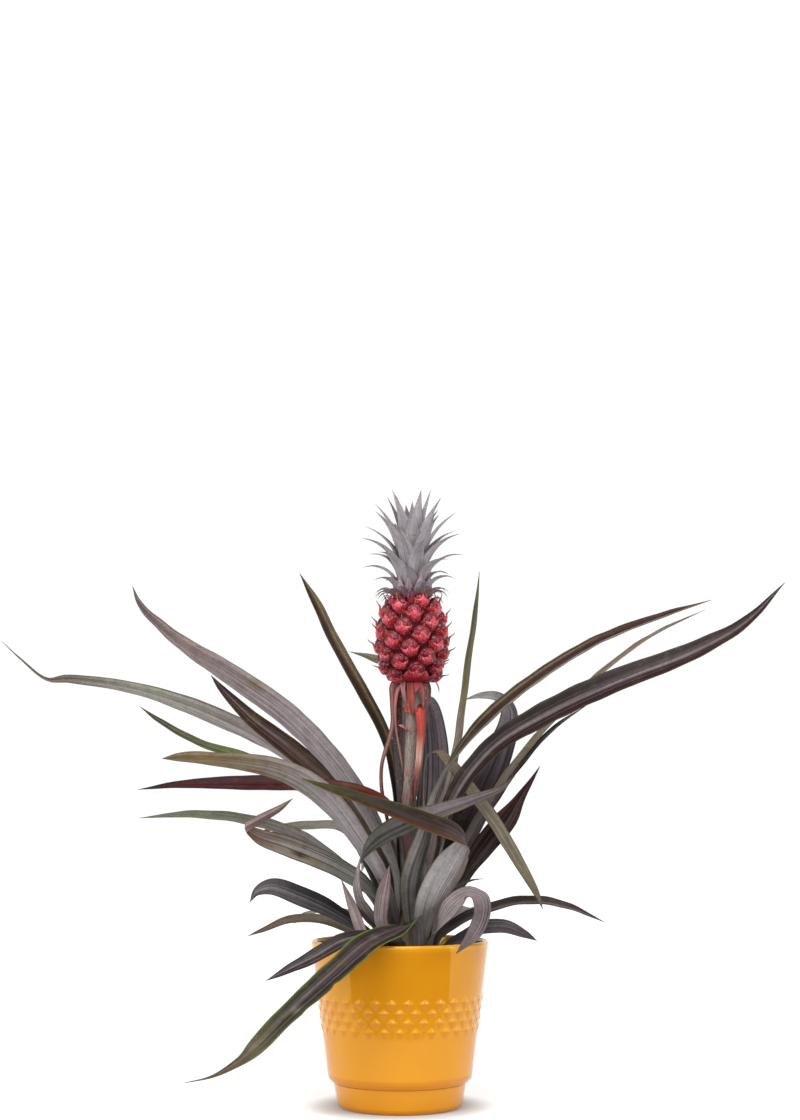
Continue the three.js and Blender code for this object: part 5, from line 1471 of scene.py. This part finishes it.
# The domes are glossy and near black, darkest at their rims as painted shade; the bracts fleshy and
# pink with a pale bloom and a painted highlight along their middle; and the spines dry and brown. The
# flesh between them only shows as dark red gaps, deepened near black as painted shade.
dome_skin = fruit_skin("glossy_dark_eye_skin", "#A01C38", "#480008", 0.2, 0.25, "#D06A7C", 0.25)
bract_flesh = fruit_skin("fleshy_pink_bract_with_ridge_highlight", "#DC3C56", "#94020F", 0.28, 0.35, "#F2C4C8", 0.6)
spine_skin = fruit_skin("dry_brown_spine", "#9A6E44", "#6A1024", 0.6, 0.0, "#C8A870", 0.6)
# The flesh is its own dark red, deepened near black as painted shade for the gaps where it shows.
flesh_skin, shader = mottled("dark_red_fruit_flesh_painted_gap_shade", "#3E0812", 0.6, "#200208", "#4A0814", 4 * MM, 2.0)
shader.inputs["Specular IOR Level"].default_value = 0.15
fruit_skins = [(flesh, flesh_skin), (domes, dome_skin), (bracts, bract_flesh), (spines, spine_skin)]
for piece, material in fruit_skins:
    piece.data.materials.clear()
    piece.data.materials.append(material)
    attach(piece, "root")
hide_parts("fruit")

# A skirt of broad pointed bracts grows under the fruit. Round its top, small ones whose flowers never
# opened stand between the last eyes and the crown, and thin ones curl out over it.
BRACT_RINGS = [
    # name, count, turn, sway, drops, shake, path [reach, height, width, part of the drop], ways, colours
    ("skirt", 9, -100, 6, None, 0.6,
     ((8, 334.6, 9, 0), (13, 334.8, 12, 0), (18, 337.2, 9, 0), (21.5, 341, 1, 0)),
     ((1, 7), (1, 1)), ["#5A0814", "#8E1022", "#9E1A2E", "#B4404C"]),
    ("top_bract", 13, 0, 10, None, 1,
     ((13, 391, 6, 0), (17, 393.5, 6.5, 0), (19, 397, 4, 0), (22, 401, 0.8, 0)),
     ((1, 1), (1, 3)), ["#6E0618", "#A0122A", "#B42A42", "#9A4A40"]),
    ("neck_bract", 14, 14, 10, (-2, 1), None,
     ((12, 396, 5, 0), (16, 400, 3.4, 0.3), (21, 401.4, 2, 0.7), (25, 397.6, 0.8, 1)),
     ((1, 2), (0, 9)), ["#960E26", "#9A2A40", "#7A4456", "#8A3A48"]),
]
chance = random.Random(11)
rings = []


def around(count, turn, sway):
    """The number and the direction of each of a ring of leaves, a little off its even place."""
    for i in range(count):
        angle = math.radians(turn + i * 360 / count + chance.uniform(-sway, sway))
        yield i, (math.cos(angle), math.sin(angle))


def spoke(out, reach, z, wide):
    """A point of a leaf's path that lies out from the fruit's axis."""
    return [FRUIT_X + out[0] * reach, out[1] * reach, z, wide]


for name, count, turn, sway, drops, shake, steps, ways, colours in BRACT_RINGS:
    for i, out in around(count, turn, sway):
        drop = chance.uniform(*drops) if drops else 0
        path = [spoke(out, reach, z + drop * part + (chance.uniform(-shake, shake) if shake else 0), wide)
                for reach, z, wide, part in steps]
        faces = [[-out[0] * inwards, -out[1] * inwards, rise] for inwards, rise in ways]
        rings.append(red_bract(f"{name}_{i}", path, faces, colours))
bract_rings = join_pieces(rings, "fruit_bract_rings")
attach(bract_rings, "root")


# The crown is a tuft of stiff channelled leaves on top of the fruit, felted all over with silver
# scales. The lowest are narrow and curl out and down; the highest are broad and stand up.
CROWN_LEAVES = 40
CROWN_FIRST_ANGLE = 20
CROWN_BASE_Z = 398.8
CROWN_TAPER = [1, 0.95, 0.66, 0.3, 0.05]
CROWN_BULGE = 15
CROWN_WIDE, CROWN_LONG, CROWN_DROOP = (10, 15.5), (20, 42), (118, 4)
CROWN_LIFT, CROWN_REACH, CROWN_RISE = (56, 74), (12.5, 3), (1.5, 46)
CROWN_SHAPE = {
    "edge": "#8E8288", "cup": 0.16, "ripple": 0.1, "pleat": 0.05, "dust": (0.2, 0.3), "thick": 0.8 * MM,
}
PINK_FOOT_SHARE = 0.3


def crown_part(ends, share):
    """A value between those of the lowest and the highest leaf."""
    return ends[0] + (ends[1] - ends[0]) * share


crown_leaves = []
for i in range(CROWN_LEAVES):
    share = i / (CROWN_LEAVES - 1)
    angle = math.radians(CROWN_FIRST_ANGLE + i * GOLDEN_ANGLE)
    out = (math.cos(angle), math.sin(angle))
    steps = len(CROWN_TAPER) - 1
    wide = crown_part(CROWN_WIDE, share) + 2 * math.sin(math.pi * share)
    stride = (crown_part(CROWN_LONG, share) + CROWN_BULGE * math.sin(math.pi * share)) / steps
    droop = math.radians(crown_part(CROWN_DROOP, share)) / steps
    lift = math.radians(crown_part(CROWN_LIFT, share))
    reach = crown_part(CROWN_REACH, share)
    z = CROWN_BASE_Z + crown_part(CROWN_RISE, share)
    path = []
    for taper in CROWN_TAPER:
        path.append(spoke(out, reach, z, wide * taper))
        reach += stride * math.cos(lift)
        z += stride * math.sin(lift)
        lift -= droop
    foot = "#8A6068" if share < PINK_FOOT_SHARE else "#A69CA2"
    crown_leaves.append(blade(
        f"crown_leaf_{i}", path, [[-out[0], -out[1], 0.9]] * 2, ["#7E767C", "#787076", "#6E6466"],
        [foot, "#B4ACB2", "#BAB2B8", "#A89EA8"], across=10, along=5, **CROWN_SHAPE,
    ))

# Under them, small leaves stayed short. The upper ring stands against the crown's foot, and the
# lower one curls down over the fruit.
SMALL_RINGS = [
    # count, turn, widths, drops, path [reach, height, taper, part of the drop]
    (11, 0, (8, 10.5), (-1.5, 2),
     ((11, 400, 1, 0), (13.4, 405, 0.9, 0.3), (15, 411, 0.5, 0.7), (17.4, 417, 0.05, 1))),
    (20, 9, (4.5, 6.5), (-2.5, 1.5),
     ((12, 399.5, 1.4, 0), (16, 404, 1, 0.2), (21, 406.5, 0.55, 0.5), (26, 406, 0.35, 0.8),
      (29.5, 402.5, 0.1, 1))),
]
SMALL_SWAY = 7
for count, turn, widths, drops, steps in SMALL_RINGS:
    for i, out in around(count, turn, SMALL_SWAY):
        drop, wide = chance.uniform(*drops), chance.uniform(*widths)
        path = [spoke(out, reach, z + drop * part, wide * taper) for reach, z, taper, part in steps]
        crown_leaves.append(blade(
            f"crown_small_leaf_{count}_{i}", path, [[-out[0], -out[1], 1], [-out[0], -out[1], 3]],
            ["#7A626A", "#746068", "#6A5A60"], ["#8E5460", "#96747E", "#A2949C", "#948690"],
            across=8, along=4, **CROWN_SHAPE,
        ))
crown = join_pieces(crown_leaves, "silver_leaf_crown")
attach(crown, "root")
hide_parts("crown")

# The crown's short stem is a cone inside the tuft, under a felt of silver scales that makes it look
# soft and pale grey. It fills the gaps between the feet of its leaves.
CORE_TOP_Z, CORE_LOW_R, CORE_TOP_R = 450 * MM, 11 * MM, 3 * MM
core = new_cone("crown_core", CORE_LOW_R, CORE_TOP_R, CROWN_BASE_Z * MM, CORE_TOP_Z, FRUIT_X * MM)
core_felt = mottled("silver_crown_felt", "#6A6066", 0.7, "#86767C", "#A89CA2", 1.2 * MM, 3.0)[0]
core.data.materials.append(core_felt)
smooth(core, angle=60)
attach(core, "root")
